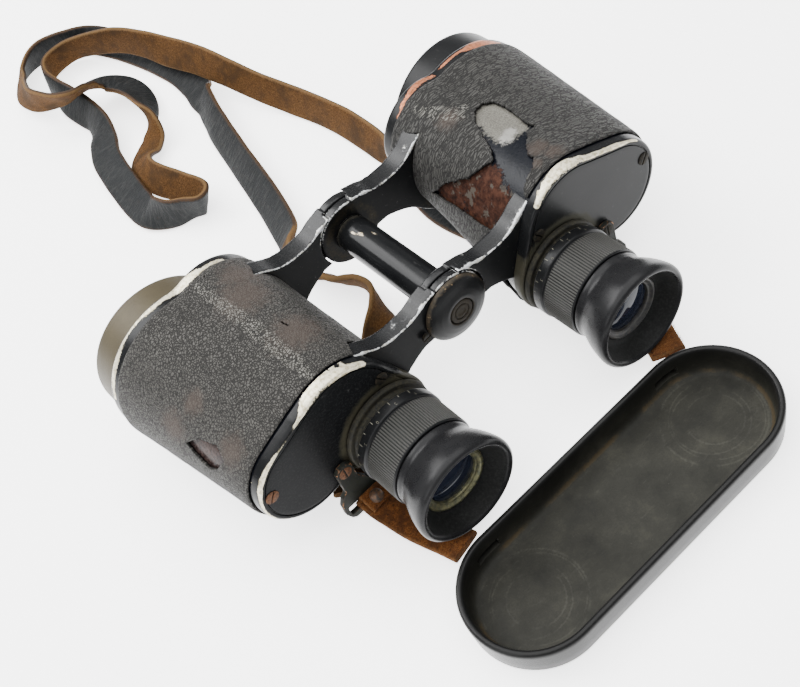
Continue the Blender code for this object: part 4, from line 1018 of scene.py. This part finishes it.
def rear_cover(side, label, material, plate):
    """The eyepiece end cap: rim band, rounded edge, thin groove and slightly domed plate."""
    profile = ((-24.45, 0.35), (-24.6, 0.0), (-25.4, -0.02), (-26.6, -0.02), (-27.3, 0.0), (-27.8, 0.12),
               (-28.08, 0.38), (-28.18, 0.75), (-28.2, 1.15), (-28.16, 1.40), (-27.80, 1.52),
               (-27.80, 1.78), (-28.14, 1.92), (-28.2, 2.3), (-28.2, 3.2))
    rings = [section(y, side, inset) for y, inset in profile]
    rings += [section(-28.2, side, 3.2, shrink) for shrink in np.linspace(0.96, 0.02, 30)]
    points, faces = skin(rings, caps=(False, True))
    reach = np.hypot(np.asarray(points)[:, 0] - side * EYE_X, np.asarray(points)[:, 2] - EYE_Z)
    faces = [face for face in faces if reach[list(face)].min() > 11.4]
    obj = make(f"{label}_rear_cap", points, faces, material, uv=around_uv(rings), sharp=50.0)
    place = points_of(obj)
    wear, chips = (REAR_WEAR_LEFT, REAR_CHIPS_LEFT) if side < 0 else (REAR_WEAR_RIGHT, REAR_CHIPS_RIGHT)
    insets = np.full(len(rings), 9.0)
    insets[:len(profile)] = [inset for _, inset in profile]
    insets = np.repeat(insets, len(SECTION_ANGLES))
    worn = np.maximum(skin_band(place, side, wear), skin_spots(place, side, chips, 0.1))
    store(obj, "wear", worn * (insets < 1.3) * 0.95)
    eye = np.hypot(place[:, 0] - side * EYE_X, place[:, 2] - EYE_Z)
    groove = (insets > 1.45) & (insets < 1.85)
    store(obj, "grime", np.clip(bell(eye, 14.6, 1.9) * 0.85 + groove * 0.3, 0.0, 1.0))
    obj.data.materials.append(plate)
    for polygon in obj.data.polygons:
        polygon.material_index = 1 if polygon.normal.y < -0.97 else 0
    return obj


def front_cover(side, label, material):
    """The objective end cap with a collar that runs out to the objective ring."""
    profile = ((31.35, 0.4), (31.5, 0.0), (32.5, -0.02), (33.8, -0.02), (34.6, 0.0), (35.1, 0.15),
               (35.34, 0.5), (35.4, 1.0))
    rings = [section(y, side, inset) for y, inset in profile]
    rings += [section(35.4, side, 1.0, shrink) for shrink in (0.9, 0.75, 0.5, 0.25, 0.02)]
    points, faces = skin(rings, caps=(False, True))
    obj = make(f"{label}_front_cap", points, faces, material, uv=around_uv(rings), sharp=50.0)
    place = points_of(obj)
    store(obj, "wear", skin_band(place, side, FRONT_WEAR_LEFT if side < 0 else FRONT_WEAR_RIGHT) * 0.95)
    store(obj, "grime", np.clip(1.2 - np.abs(place[:, 1] - 31.5), 0.0, 1.0) * 0.4)
    return obj


def slotted_screw(name, centre, radius, face_y, material, turn):
    """A countersunk head, just below the face, with a cut slot."""
    x, z = centre
    angles = np.arange(40) * math.pi / 20
    rings = [np.stack([x + r * np.cos(angles), np.full(40, y), z + r * np.sin(angles)], -1)
             for r, y in ((radius * 0.9, face_y), (radius, face_y + 0.12), (radius * 0.8, face_y + 0.9))]
    points, faces = skin(rings, caps=(True, True))
    head = make(name, points, faces, material)
    a = math.radians(turn)
    along, across = np.array((math.cos(a), math.sin(a))), np.array((-math.sin(a), math.cos(a)))
    outline = [tuple(np.array((x, z)) + along * sx * radius * 1.4 + across * sz * 0.22)
               for sx, sz in ((-1, -1), (1, -1), (1, 1), (-1, 1))]
    boolean(head, slab("slot", outline, (face_y - 0.5, face_y + 0.35), material), "DIFFERENCE")
    return head


def lug(side, label, material):
    """The tee-shaped bracket with the strap slot, its edges softened."""
    outline = [(-6.8, 1.2), (4.4, 1.2), (5.8, 2.4), (6.8, 5.2), (6.6, 9.6), (5.4, 12.2), (3.7, 13.8),
               (3.7, 22.2), (2.2, 23.6), (-0.4, 23.6), (-1.7, 22.4), (-1.7, 16.6), (-3.8, 12.8),
               (-6.4, 10.8)]
    place = [(side * LUG_X + side * x, z - HINGE[2]) for x, z in outline]
    plate = slab(f"{label}_lug", place, (REAR_Y - 1.9, REAR_Y - 0.3), material)
    slot = box(side * LUG_X, SLOT_Z - HINGE[2], 5.4, 1.8)
    boolean(plate, slab("slot", slot, (REAR_Y - 3.0, REAR_Y + 1.0), material), "DIFFERENCE")
    soften(plate, 0.22)
    store(plate, "wear", np.clip(sharpness(plate, 2) * 0.55, 0.0, 0.42))
    store(plate, "grime", 0.62)
    return plate


def barrel(side, label, kit):
    """Everything fixed to one barrel."""
    body = f"{label}_barrel"
    piece(leather_covering(side, label, kit[f"{label}_leatherette"]), body, "leatherette",
          f"{label}_leather")
    piece(bare_housing(side, label, kit["casting"]), body, "painted_casting", f"{label}_housing")
    for end in ("front", "rear"):
        arm = arm_piece(side, label, end, kit["arm_lacquer"], kit["shaded_web_lacquer"])
        piece(arm, body, "painted_casting", f"{label}_housing")
    cap = rear_cover(side, label, kit["cap_lacquer"], kit[f"{label}_plate"])
    piece(cap, body, "painted_casting", f"{label}_rear_cover")
    front_kit = kit["cap_lacquer"] if side < 0 else kit["copper_lacquer"]
    piece(front_cover(side, label, front_kit), body, "painted_casting", f"{label}_front_cover")
    centres = ((side * 70.2, -3.1), (side * 51.0, -14.9), (side * 29.4, 3.2))
    rusty = (side < 0, side < 0, False)
    for number, (centre, red) in enumerate(zip(centres, rusty), 1):
        finish = kit["rusty_screw"] if red else kit["dark_screw"]
        face = REAR_Y - 0.35 if number != 2 else REAR_Y - 2.1
        screw = slotted_screw(f"{label}_screw_{number}", centre, 2.05, face, finish, 20.0 + 35.0 * number)
        piece(screw, body, "screw_steel", f"{label}_cover_screw_{number}")
    piece(lug(side, label, kit["lug_paint"]), body, "painted_steel", f"{label}_strap_lug")
    objective(side, label, body, kit)


def objective(side, label, body, kit):
    """The outer ring, the cell with its front ring, and the lens."""
    axis = (side * OBJ_X, OBJ_Z)
    ring = [(20.9, 35.45), (22.0, 35.7), (22.3, 36.4), (22.3, 45.4), (22.1, 46.2), (21.4, 46.7),
            (19.6, 46.7), (18.6, 45.6), (18.1, 44.4), (18.1, 43.2)]
    material = kit["olive_ring"] if side < 0 else kit["black_ring"]
    outer = turned(f"{label}_outer_ring", ring, axis, material, 160, corner=0.35)
    place = points_of(outer)
    store(outer, "wear", fade(place[:, 1], 46.2, 0.8) * 0.42)
    store(outer, "grime", fade(place[:, 1], 35.8, 1.4) * 0.5)
    slot = "olive_lacquer_ring" if side < 0 else "black_lacquer_ring"
    piece(outer, body, slot, f"{label}_objective_ring")
    cell = [(18.0, 43.3), (17.6, 44.0), (16.4, 44.0), (16.2, 43.6), (15.9, 44.0), (14.6, 44.0),
            (14.3, 43.4), (14.25, 42.0)]
    mount = turned(f"{label}_lens_cell", cell, axis, kit["cell_black"], 128, corner=0.12)
    piece(mount, body, "blackened_brass", f"{label}_objective_cell")
    dome = [(r, 42.0 - 1.3 * (r / 15.0) ** 2) for r in (0.001, 2, 4, 6, 8, 10, 12, 14, 15.1)]
    glass = turned(f"{label}_front_lens", dome, axis, kit["lens"], 96, corner=0.0)
    piece(glass, body, "lens_glass", f"{label}_objective_crown_lens")


# ---------------------------------------------------------------- eyepieces

def dioptre_marks(label, side, shift, kit):
    """Ticks and plain numbers round the focus ring's skirt."""
    axis = (side * EYE_X, EYE_Z)
    radius, zero = 13.93, 114.0 if side < 0 else 120.0
    points, faces = [], []

    def on_skirt(angle, y):
        return axis[0] + radius * math.cos(angle), y + shift, axis[1] + radius * math.sin(angle)

    for k in range(-8, 9):
        angle, half = math.radians(zero + 14.0 * k), 0.08 / radius
        low = -34.6 if k % 2 == 0 else -34.1
        faces.append(tuple(range(len(points), len(points) + 4)))
        for turn, y in ((-half, low), (half, low), (half, -33.5), (-half, -33.5)):
            points.append(on_skirt(angle + turn, y))
    obj = make(f"{label}_dioptre_ticks", points, faces, kit["white_marks"], smooth=False)
    piece(obj, f"{label}_focus", "black_lacquer_brass")
    for k in range(-6, 7, 2):
        angle = math.radians(zero + 14.0 * k - 5.0)
        curve = bpy.data.curves.new("digit", "FONT")
        curve.body = str(abs(k))
        curve.size = 1.35 * MM
        curve.extrude = 0.005 * MM
        curve.offset = -0.012 * MM
        curve.align_x = "CENTER"
        text = bpy.data.objects.new(f"{label}_digit_{k + 8}", curve)
        bpy.context.scene.collection.objects.link(text)
        bpy.context.view_layer.update()
        mesh = bpy.data.meshes.new_from_object(text.evaluated_get(bpy.context.evaluated_depsgraph_get()))
        bpy.data.objects.remove(text)
        for vertex in mesh.vertices:
            flat = vertex.co / MM
            vertex.co = (Vector(on_skirt(angle + flat.x / radius, flat.y - 35.9)) + Vector(HINGE)) * MM
        number = bpy.data.objects.new(f"{label}_digit_{k + 8}", mesh)
        bpy.context.scene.collection.objects.link(number)
        mesh.materials.clear()
        mesh.materials.append(kit["white_marks"])
        piece(number, f"{label}_focus", "black_lacquer_brass")


# Profiles of the left eyepiece as (radius, y)
BASE_RING = ((10.6, -28.3), (13.7, -28.5), (14.1, -28.9), (14.1, -29.8), (13.7, -30.3), (12.4, -30.3),
             (12.0, -30.8), (12.0, -37.0))
FOCUS_RING = ((12.5, -33.1), (13.5, -33.0), (13.88, -33.3), (13.88, -36.0), (13.6, -36.4), (13.25, -36.5),
              (13.25, -36.8), (13.5, -37.0), (13.5, -38.5), (13.5, -40.0), (13.5, -41.5), (13.5, -43.0),
              (13.5, -44.5), (13.5, -46.0), (13.5, -47.2), (13.2, -47.75), (12.2, -47.8))
KNURL_Y, KNURL_RIBS, KNURL_DEPTH = (-47.3, -36.9), 104, 0.22
CUP = ((12.3, -48.1), (12.9, -48.15), (13.0, -49.0), (12.9, -49.9), (13.05, -50.9), (13.7, -52.4),
       (14.5, -54.2), (15.2, -56.2), (15.7, -58.2), (15.9, -59.6), (15.75, -60.7), (15.2, -61.4),
       (14.6, -61.6), (14.05, -61.35), (13.7, -60.8))
FUNNEL = ((13.7, -60.8), (13.2, -59.8), (12.6, -58.8), (11.9, -57.6), (11.1, -56.6), (10.6, -56.2),
          (10.3, -56.0), (9.7, -55.7))
LENS_SEAT = ((9.8, -55.0), (9.8, -55.9), (9.4, -56.3), (8.9, -56.3), (8.6, -55.9), (8.2, -55.6),
             (7.7, -55.5), (7.5, -55.1), (7.4, -54.5))


def moved(profile, shift):
    """The same (radius, y) profile further along Y."""
    return [(radius, y + shift) for radius, y in profile]


def eyepiece(side, label, kit):
    """The base ring on the barrel, the focus ring with its eyecup, and the lens in its seat."""
    axis = (side * EYE_X, EYE_Z)
    shift = RIGHT_FOCUS_IN if side > 0 else 0.0
    focus, ocular = f"{label}_focus", f"{label}_ocular"
    ring = turned(f"{label}_base_ring", BASE_RING, axis, kit["grimy_base"], 128, corner=0.2)
    store(ring, "wear", 0.0)
    store(ring, "grime", 0.55)
    piece(ring, f"{label}_barrel", "blackened_brass", f"{label}_eyepiece_base")

    low, high = KNURL_Y[0] + shift, KNURL_Y[1] + shift
    knurl = turned(f"{label}_knurl", moved(FOCUS_RING, shift), axis, kit["knurl_lacquer"],
                   ribs=(low, high, KNURL_RIBS, KNURL_DEPTH), corner=0.18)
    place = points_of(knurl)
    reach = np.hypot(place[:, 0] - axis[0], place[:, 2] - axis[1])
    on_knurl = (place[:, 1] < high) & (place[:, 1] > low)
    # The rib tops get wear and dust colour, lighter than the grooves: partly real wear, partly a painted
    # highlight along each rib.
    store(knurl, "wear", np.where(on_knurl & (reach > 13.4), 0.26, 0.0))
    store(knurl, "grime", np.where(on_knurl & (reach > 13.38), 0.95, 0.0))
    piece(knurl, focus, "black_lacquer_brass", f"{label}_focus_ring")
    dioptre_marks(label, side, shift, kit)

    cup = turned(f"{label}_cup", moved(through(CUP, 4), shift), axis, kit["cup_bakelite"], 160, corner=0.0)
    piece(cup, focus, "bakelite", f"{label}_eyecup")
    funnel = turned(f"{label}_funnel", moved(FUNNEL, shift), axis, kit["funnel_black"], 128, corner=0.3)
    piece(funnel, focus, "bakelite", f"{label}_eyecup")
    material = kit["brassy_ring"] if side < 0 else kit["cell_black"]
    seat = turned(f"{label}_lens_seat", moved(LENS_SEAT, shift), axis, material, 96, corner=0.1)
    piece(seat, ocular, "blackened_brass", f"{label}_ocular_tube")
    dome = [(r, -54.6 - 0.9 * (1 - (r / 7.6) ** 2)) for r in (0.001, 1, 2, 3, 4, 5, 6, 7, 7.55)]
    glass = turned(f"{label}_eye_glass", moved(dome, shift), axis, kit["lens"], 64, corner=0.0)
    piece(glass, ocular, "lens_glass", f"{label}_eye_lens")


# ---------------------------------------------------------------- hinge

# Profiles of the hinge's ends as (radius, distance along Y from the arms)
REAR_DISC = ((0.001, -2.5), (3.9, -2.5), (4.0, -2.9), (4.2, -3.35), (5.2, -3.35), (7.0, -3.0), (8.6, -2.45),
             (9.6, -1.9), (10.05, -1.4), (10.2, -0.9), (10.2, -0.3))
RING_NUT = ((0.001, -3.0), (1.2, -3.0), (1.3, -3.2), (2.1, -3.2), (2.2, -2.95), (2.5, -2.95), (2.6, -3.3),
            (3.5, -3.3), (3.75, -3.1), (3.8, -2.4))
FRONT_DISC = ((8.6, 0.3), (8.6, 0.9), (8.2, 1.5), (7.4, 2.2), (5.6, 2.6), (3.6, 2.85), (2.2, 2.5),
              (0.001, 2.5))
TUBE_CHIPS = ((-1.0, 12.5, 5.5, 1.3), (1.5, 9.5, 5.4, 0.9), (-4.5, 3.0, 3.4, 1.1), (-4.0, 1.0, 4.0, 0.9),
              (2.5, 16.0, 5.0, 1.2), (-2.0, 15.0, 5.2, 0.8), (0.5, 4.0, 5.6, 0.6))


def hinge_turned(name, profile, material, steps, corner):
    """A turned piece of the hinge, its points and their distances from the axis."""
    obj = turned(name, profile, (0.0, 0.0), material, steps, corner=corner)
    place = points_of(obj)
    return obj, place, np.hypot(place[:, 0], place[:, 2])


def hinge(kit):
    """The centre tube, the rear disc with its ring nut, the front cap and the stop screw."""
    y0, y1 = REAR_ARM_Y[1] + 0.3, FRONT_ARM_Y[0] - 0.3
    tube = [(4.2, y0), (5.4, y0), (5.6, y0 + 0.2)] + [(5.6, y0 + 0.2 + k * 2.55) for k in range(1, 15)]
    tube += [(5.4, y1), (4.2, y1)]
    obj, place, _ = hinge_turned("centre_tube", tube, kit["tube_lacquer"], 96, 0.1)
    store(obj, "wear", spots(place, TUBE_CHIPS) * 0.95)
    store(obj, "grime", 0.7 * fade(place[:, 1], y1, 2.5) + 0.5 * fade(place[:, 1], y0, 1.5))
    piece(obj, "left_barrel", "black_lacquer_brass", "hinge_tube", "hinge_axle")

    start = REAR_ARM_Y[0]
    obj, place, reach = hinge_turned("rear_disc", moved(REAR_DISC, start), kit["disc_lacquer"], 128, 0.25)
    rim = np.where(np.abs(reach - 9.9) < 0.35, 0.36, 0.0)
    store(obj, "wear", rim + 0.3 * spots(place, [(3.0, start - 3, 5.5, 2.0)]))
    store(obj, "grime", np.clip(0.75 * bell(reach, 10.2, 0.5) + 0.6 * bell(reach, 4.2, 0.5), 0.0, 1.0))
    piece(obj, "left_barrel", "painted_steel", "hinge_disc")

    obj, place, _ = hinge_turned("ring_nut", moved(RING_NUT, start), kit["nut_brown"], 96, 0.08)
    turn = math.radians(35.0)
    across = place[:, 2] * math.cos(turn) - place[:, 0] * math.sin(turn)
    store(obj, "wear", np.where(np.abs(across) < 0.4, 0.1, 0.25))
    store(obj, "grime", 0.8)
    piece(obj, "left_barrel", "blackened_brass", "hinge_nut")

    obj, _, reach = hinge_turned("front_cap", moved(FRONT_DISC, FRONT_ARM_Y[1]), kit["disc_lacquer"], 96, 0.2)
    store(obj, "wear", np.where(reach > 8.2, 0.45, 0.0))
    store(obj, "grime", bell(reach, 2.4, 0.6))
    piece(obj, "left_barrel", "painted_steel", "hinge_front_cap")
    stop = slotted_screw("stop_screw", (-11.6, -1.2), 1.4, start - 1.25, kit["dark_screw"], 10.0)
    piece(stop, "left_barrel", "screw_steel", "hinge_stop_screw")


# ---------------------------------------------------------------- rain guard

def guard_ring(inset, z):
    """The guard's long rounded outline at a height, moved inwards by the inset."""
    steps, straight = 40, 24
    radius, run = GUARD_WIDTH / 2 - inset, GUARD_RUN
    points = []
    for end in (1, -1):
        for k in range(straight):
            points.append((end * (-run + 2 * run * k / straight), -end * radius))
        for k in range(steps):
            angle = math.pi * (k / steps - 0.5)
            points.append((end * (run + radius * math.cos(angle)), end * radius * math.sin(angle)))
    return np.column_stack([np.array(points) + GUARD_CENTRE, np.full(len(points), z)])


def guard(kit):
    """The moulded shell: outer wall, rolled rim, inner wall and floor, closed below."""
    profile = [(3.0, 0.0), (1.9, 0.0), (1.2, 0.15), (0.7, 0.6), (0.45, 1.3), (0.2, 5.0), (0.0, 9.0),
               (0.0, 9.8), (0.15, 10.35), (0.55, 10.7), (1.0, 10.8), (1.5, 10.72), (1.85, 10.4),
               (2.05, 9.8), (2.2, 8.0), (2.4, 6.0), (2.6, 4.2), (2.9, 3.2), (3.4, 2.55), (4.1, 2.15),
               (5.2, 2.0)]
    material = kit["guard_plastic"]
    rings = [guard_ring(inset, z) for inset, z in profile]
    shell = make("guard_shell", *skin(rings), material, WORLD, sharp=60.0)
    for name, ring in (("inner_floor", rings[-1]), ("base", rings[0])):
        loops = [ring] + [guard_ring(inset, ring[0][2]) for inset in (8.0, 11.0, 14.0, 16.5)]
        lid = make(f"guard_{name}", *skin(loops, (False, True)), material, WORLD, sharp=60.0)
        joined = bmesh.new()
        joined.from_mesh(shell.data)
        joined.from_mesh(lid.data)
        bmesh.ops.remove_doubles(joined, verts=joined.verts, dist=0.00001)
        bmesh.ops.recalc_face_normals(joined, faces=joined.faces)
        joined.to_mesh(shell.data)
        joined.free()
        bpy.data.objects.remove(lid)
    for x in GUARD_SLOTS_X:
        y = GUARD_CENTRE[1] + GUARD_WIDTH / 2
        cutter = slab("slot", box(x, SLOT_Z, 4.0, 1.3), (y - 5.0, y + 2.0), material, 1, WORLD)
        boolean(shell, cutter, "DIFFERENCE")
    shell.data.shade_smooth()
    shell.data.set_sharp_from_angle(angle=math.radians(50))
    place = points_of(shell, WORLD)
    flat = place[:, :2] - GUARD_CENTRE
    reach = np.hypot(np.maximum(np.abs(flat[:, 0]) - GUARD_RUN, 0.0), flat[:, 1])
    within = np.clip((GUARD_WIDTH / 2 - 1.9 - reach) / 0.6, 0.0, 1.0) * (place[:, 2] > 1.0)
    store(shell, "dust", within)
    foot = bell(place[:, 2], 2.6, 0.8) * bell(reach, GUARD_WIDTH / 2 - 3.0, 1.4)
    store(shell, "rust", foot * within)
    piece(shell, "guard", "bakelite", "rain_guard")


# ---------------------------------------------------------------- straps

def leaning(ahead, degrees):
    """Directions across a strap and out of its face, for its way ahead and its lean."""
    side = Vector((0.0, 0.0, 1.0)).cross(ahead).normalized()
    up = ahead.cross(side)
    lean = math.radians(degrees)
    across = side * math.cos(lean) + up * math.sin(lean)
    return across, ahead.cross(across)


def ribbon(name, route, width, thick, materials, per_span=NECK_STEPS, seed=0.0, black_until=9999):
    """A strap along a route of (x, y, z, lean), with rounded edges: first material on its black side.

    The black side is worn brown from the ring black_until on.
    """
    path = through(route, per_span)
    rings, uv, edge, run = [], [], [], 0.0
    corner = [(-1.0, 0.0), (-0.985, 0.55), (-0.93, 0.92), (-0.8, 1.0), (-0.5, STRAP_SIDE),
              (0.0, STRAP_CROWN), (0.5, STRAP_SIDE), (0.8, 1.0), (0.93, 0.92), (0.985, 0.55), (1.0, 0.0)]
    outline = corner + [(x, -y) for x, y in reversed(corner[1:-1])]
    black_sides = len(corner) - 1
    for k, point in enumerate(path):
        ahead = Vector(path[min(k + 1, len(path) - 1)][:3] - path[max(k - 1, 0)][:3]).normalized()
        across, face = leaning(ahead, point[3])
        lean = math.radians(point[3])
        if k:
            run += float(np.linalg.norm(path[k][:3] - path[k - 1][:3]))
        half = width / 2 * (1.0 + 0.02 * noise.noise(Vector((run * 0.08, seed, 0.0))))
        lowest = abs(math.sin(lean)) * half + abs(math.cos(lean)) * thick / 2
        middle = Vector(point[:3])
        middle.z = max(middle.z, lowest + 0.12)
        ring = []
        for x, y in outline:
            lift = STRAP_WOBBLE * noise.noise(Vector((run * 0.12, x * 1.5, seed + 4.0)))
            ring.append(middle + across * (x * half) + face * (y * thick / 2 + lift))
            uv.append((run, (x * half) if y >= 0 else (x * half + 40.0)))
            edge.append(abs(x))
        rings.append([tuple(p) for p in ring])
    points, faces = skin(rings, caps=(True, True))
    points = np.asarray(points)
    points[:, 2] = np.maximum(points[:, 2], 0.05)
    obj = make(name, points, faces, materials[0], WORLD, uv, sharp=60.0)
    obj.data.materials.append(materials[1])
    count = len(outline)
    for index, polygon in enumerate(obj.data.polygons):
        black = index % count < black_sides and index // count < black_until
        polygon.material_index = 0 if black else 1
    store(obj, "edge", edge)
    return obj, path, run


def fuzz(name, path, width, material, lifts, count, seed):
    """Short curled fibres standing off a suede strap."""
    points, faces = [], []
    generator = np.random.default_rng(seed)
    for _ in range(count):
        k = int(generator.integers(1, len(path) - 2))
        here, ahead = path[k][:3], path[k + 1][:3] - path[k][:3]
        ahead = Vector(ahead).normalized()
        across, face = leaning(ahead, path[k][3])
        spot = generator.uniform(-1.0, 1.0)
        if generator.random() < 0.5:
            spot = math.copysign(1.0 - generator.random() * 0.06, spot)
        root = Vector(here) + across * (spot * width / 2) + face * (lifts * generator.uniform(0.8, 1.0))
        way = (face * lifts * generator.uniform(0.1, 1.0) + across * spot * generator.uniform(0.2, 1.1)
               + ahead * generator.uniform(-0.9, 0.9)).normalized()
        length = generator.uniform(0.35, 0.95)
        wide = Vector((0.0, 0.0, 1.0)).cross(way)
        wide = (wide.normalized() if wide.length > 0.05 else across) * 0.035
        start = len(points)
        for t in (0.0, 0.5, 1.0):
            bend = way * (length * t) + ahead * (0.25 * length * t * t)
            for sign in (-1, 1):
                spot_point = root + bend + wide * (sign * (1.0 - 0.7 * t))
                points.append((spot_point.x, spot_point.y, max(spot_point.z, 0.05)))
        for t in (0, 1):
            faces.append((start + 2 * t, start + 2 * t + 1, start + 2 * t + 3, start + 2 * t + 2))
    return make(name, points, faces, material, WORLD)


def straps(kit):
    """The long neck strap, and the two suede straps with their folds and studs."""
    neck, path, run = ribbon("neck_strap_leather", NECK_STRAP, NECK_WIDTH, NECK_THICK,
                             (kit["strap_face"], kit["strap_back"]),
                             black_until=NECK_STEPS * (len(NECK_STRAP) - 16) + 2)
    piece(neck, "left_barrel", "strap_leather", "neck_strap")
    left = [(-47.9, -0.4, 5.4, 0), (-47.7, -5.6, 5.4, 0), (-46.9, -10.5, 5.0, 0), (-45.4, -18.0, 3.8, 0),
            (-42.8, -27.0, 4.2, 0), (-41.4, -33.6, 5.4, 0)]
    right = [(48.2, -0.4, 5.4, 0), (48.0, -5.6, 5.4, 0), (47.2, -10.5, 4.8, 0), (45.4, -17.0, 2.8, 0),
             (40.6, -26.5, 3.2, 0), (36.6, -34.4, 5.4, 0)]
    both = (kit["suede"], kit["suede"])
    for label, route, seed in (("left", left, 1.0), ("right", right, 2.0)):
        strap, path, _ = ribbon(f"{label}_suede_strap", route, GUARD_STRAP_WIDTH, GUARD_STRAP_THICK, both,
                                10, seed)
        piece(strap, "guard", "suede_strap", f"{label}_guard_strap")
        hairs = fuzz(f"{label}_suede_nap", path, GUARD_STRAP_WIDTH, kit["suede"], 1.0, 1500, int(seed))
        piece(hairs, "guard", "suede_strap")
        x, y, z = route[1][0], route[1][1] + 1.0, route[1][2]
        fold = [(x, y + 4.4, z + 0.4, 0), (x, y + 3.3, z + 1.9, 0), (x, y + 1.9, z + 2.3, 0),
                (x, y - 0.6, z + 1.9, 0),
                (x + 0.2, y - 2.6, z + 1.6, 0)]
        flap, flap_path, _ = ribbon(f"{label}_strap_fold", fold, FOLD_WIDTH, FOLD_THICK, both,
                                    seed=seed + 6.0)
        piece(flap, "guard", "suede_strap")
        hairs = fuzz(f"{label}_fold_nap", flap_path, FOLD_WIDTH, kit["suede"], 0.7, 160, int(seed) + 6)
        piece(hairs, "guard", "suede_strap")
        stud(f"{label}_stud", (x, y, z + 2.2), kit)


def stud(name, foot, kit):
    """A small domed stud on a washer."""
    profile = [(0.001, 2.25), (0.7, 2.2), (1.3, 1.95), (1.75, 1.5), (1.95, 0.9), (1.95, 0.45), (2.15, 0.4),
               (2.2, 0.2), (2.2, -0.1)]
    x, y, z = foot
    angles = np.arange(48) * math.pi / 24
    rings = [np.stack([x + r * np.cos(angles), y + r * np.sin(angles), np.full(48, z + up)], -1)
             for r, up in rounded(profile, 0.15)]
    obj = make(name, *skin(rings), kit["stud_metal"], WORLD)
    piece(obj, "guard", "painted_steel", f"{name.split('_')[0]}_strap_stud")


# ---------------------------------------------------------------- all of it

def inner_pieces(kit):
    """Better materials on the sealed CAD pieces inside the barrels."""
    finish = {"prism_shelf": "brass_inside", "rear_prism": "lens", "front_prism": "lens",
              "rear_prism_clip": "spring_steel", "front_prism_clip": "spring_steel",
              "objective_flint_lens": "lens", "field_lens": "lens"}
    for _, label in SIDES:
        for node, name in finish.items():
            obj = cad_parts[f"{label}_{node}"]
            for slot in obj.material_slots:
                slot.material = kit[name]


look()
studio()
kit = materials()
straps(kit)
for side, label in SIDES:
    barrel(side, label, kit)
    eyepiece(side, label, kit)
hinge(kit)
guard(kit)
inner_pieces(kit)

bpy.context.view_layer.update()
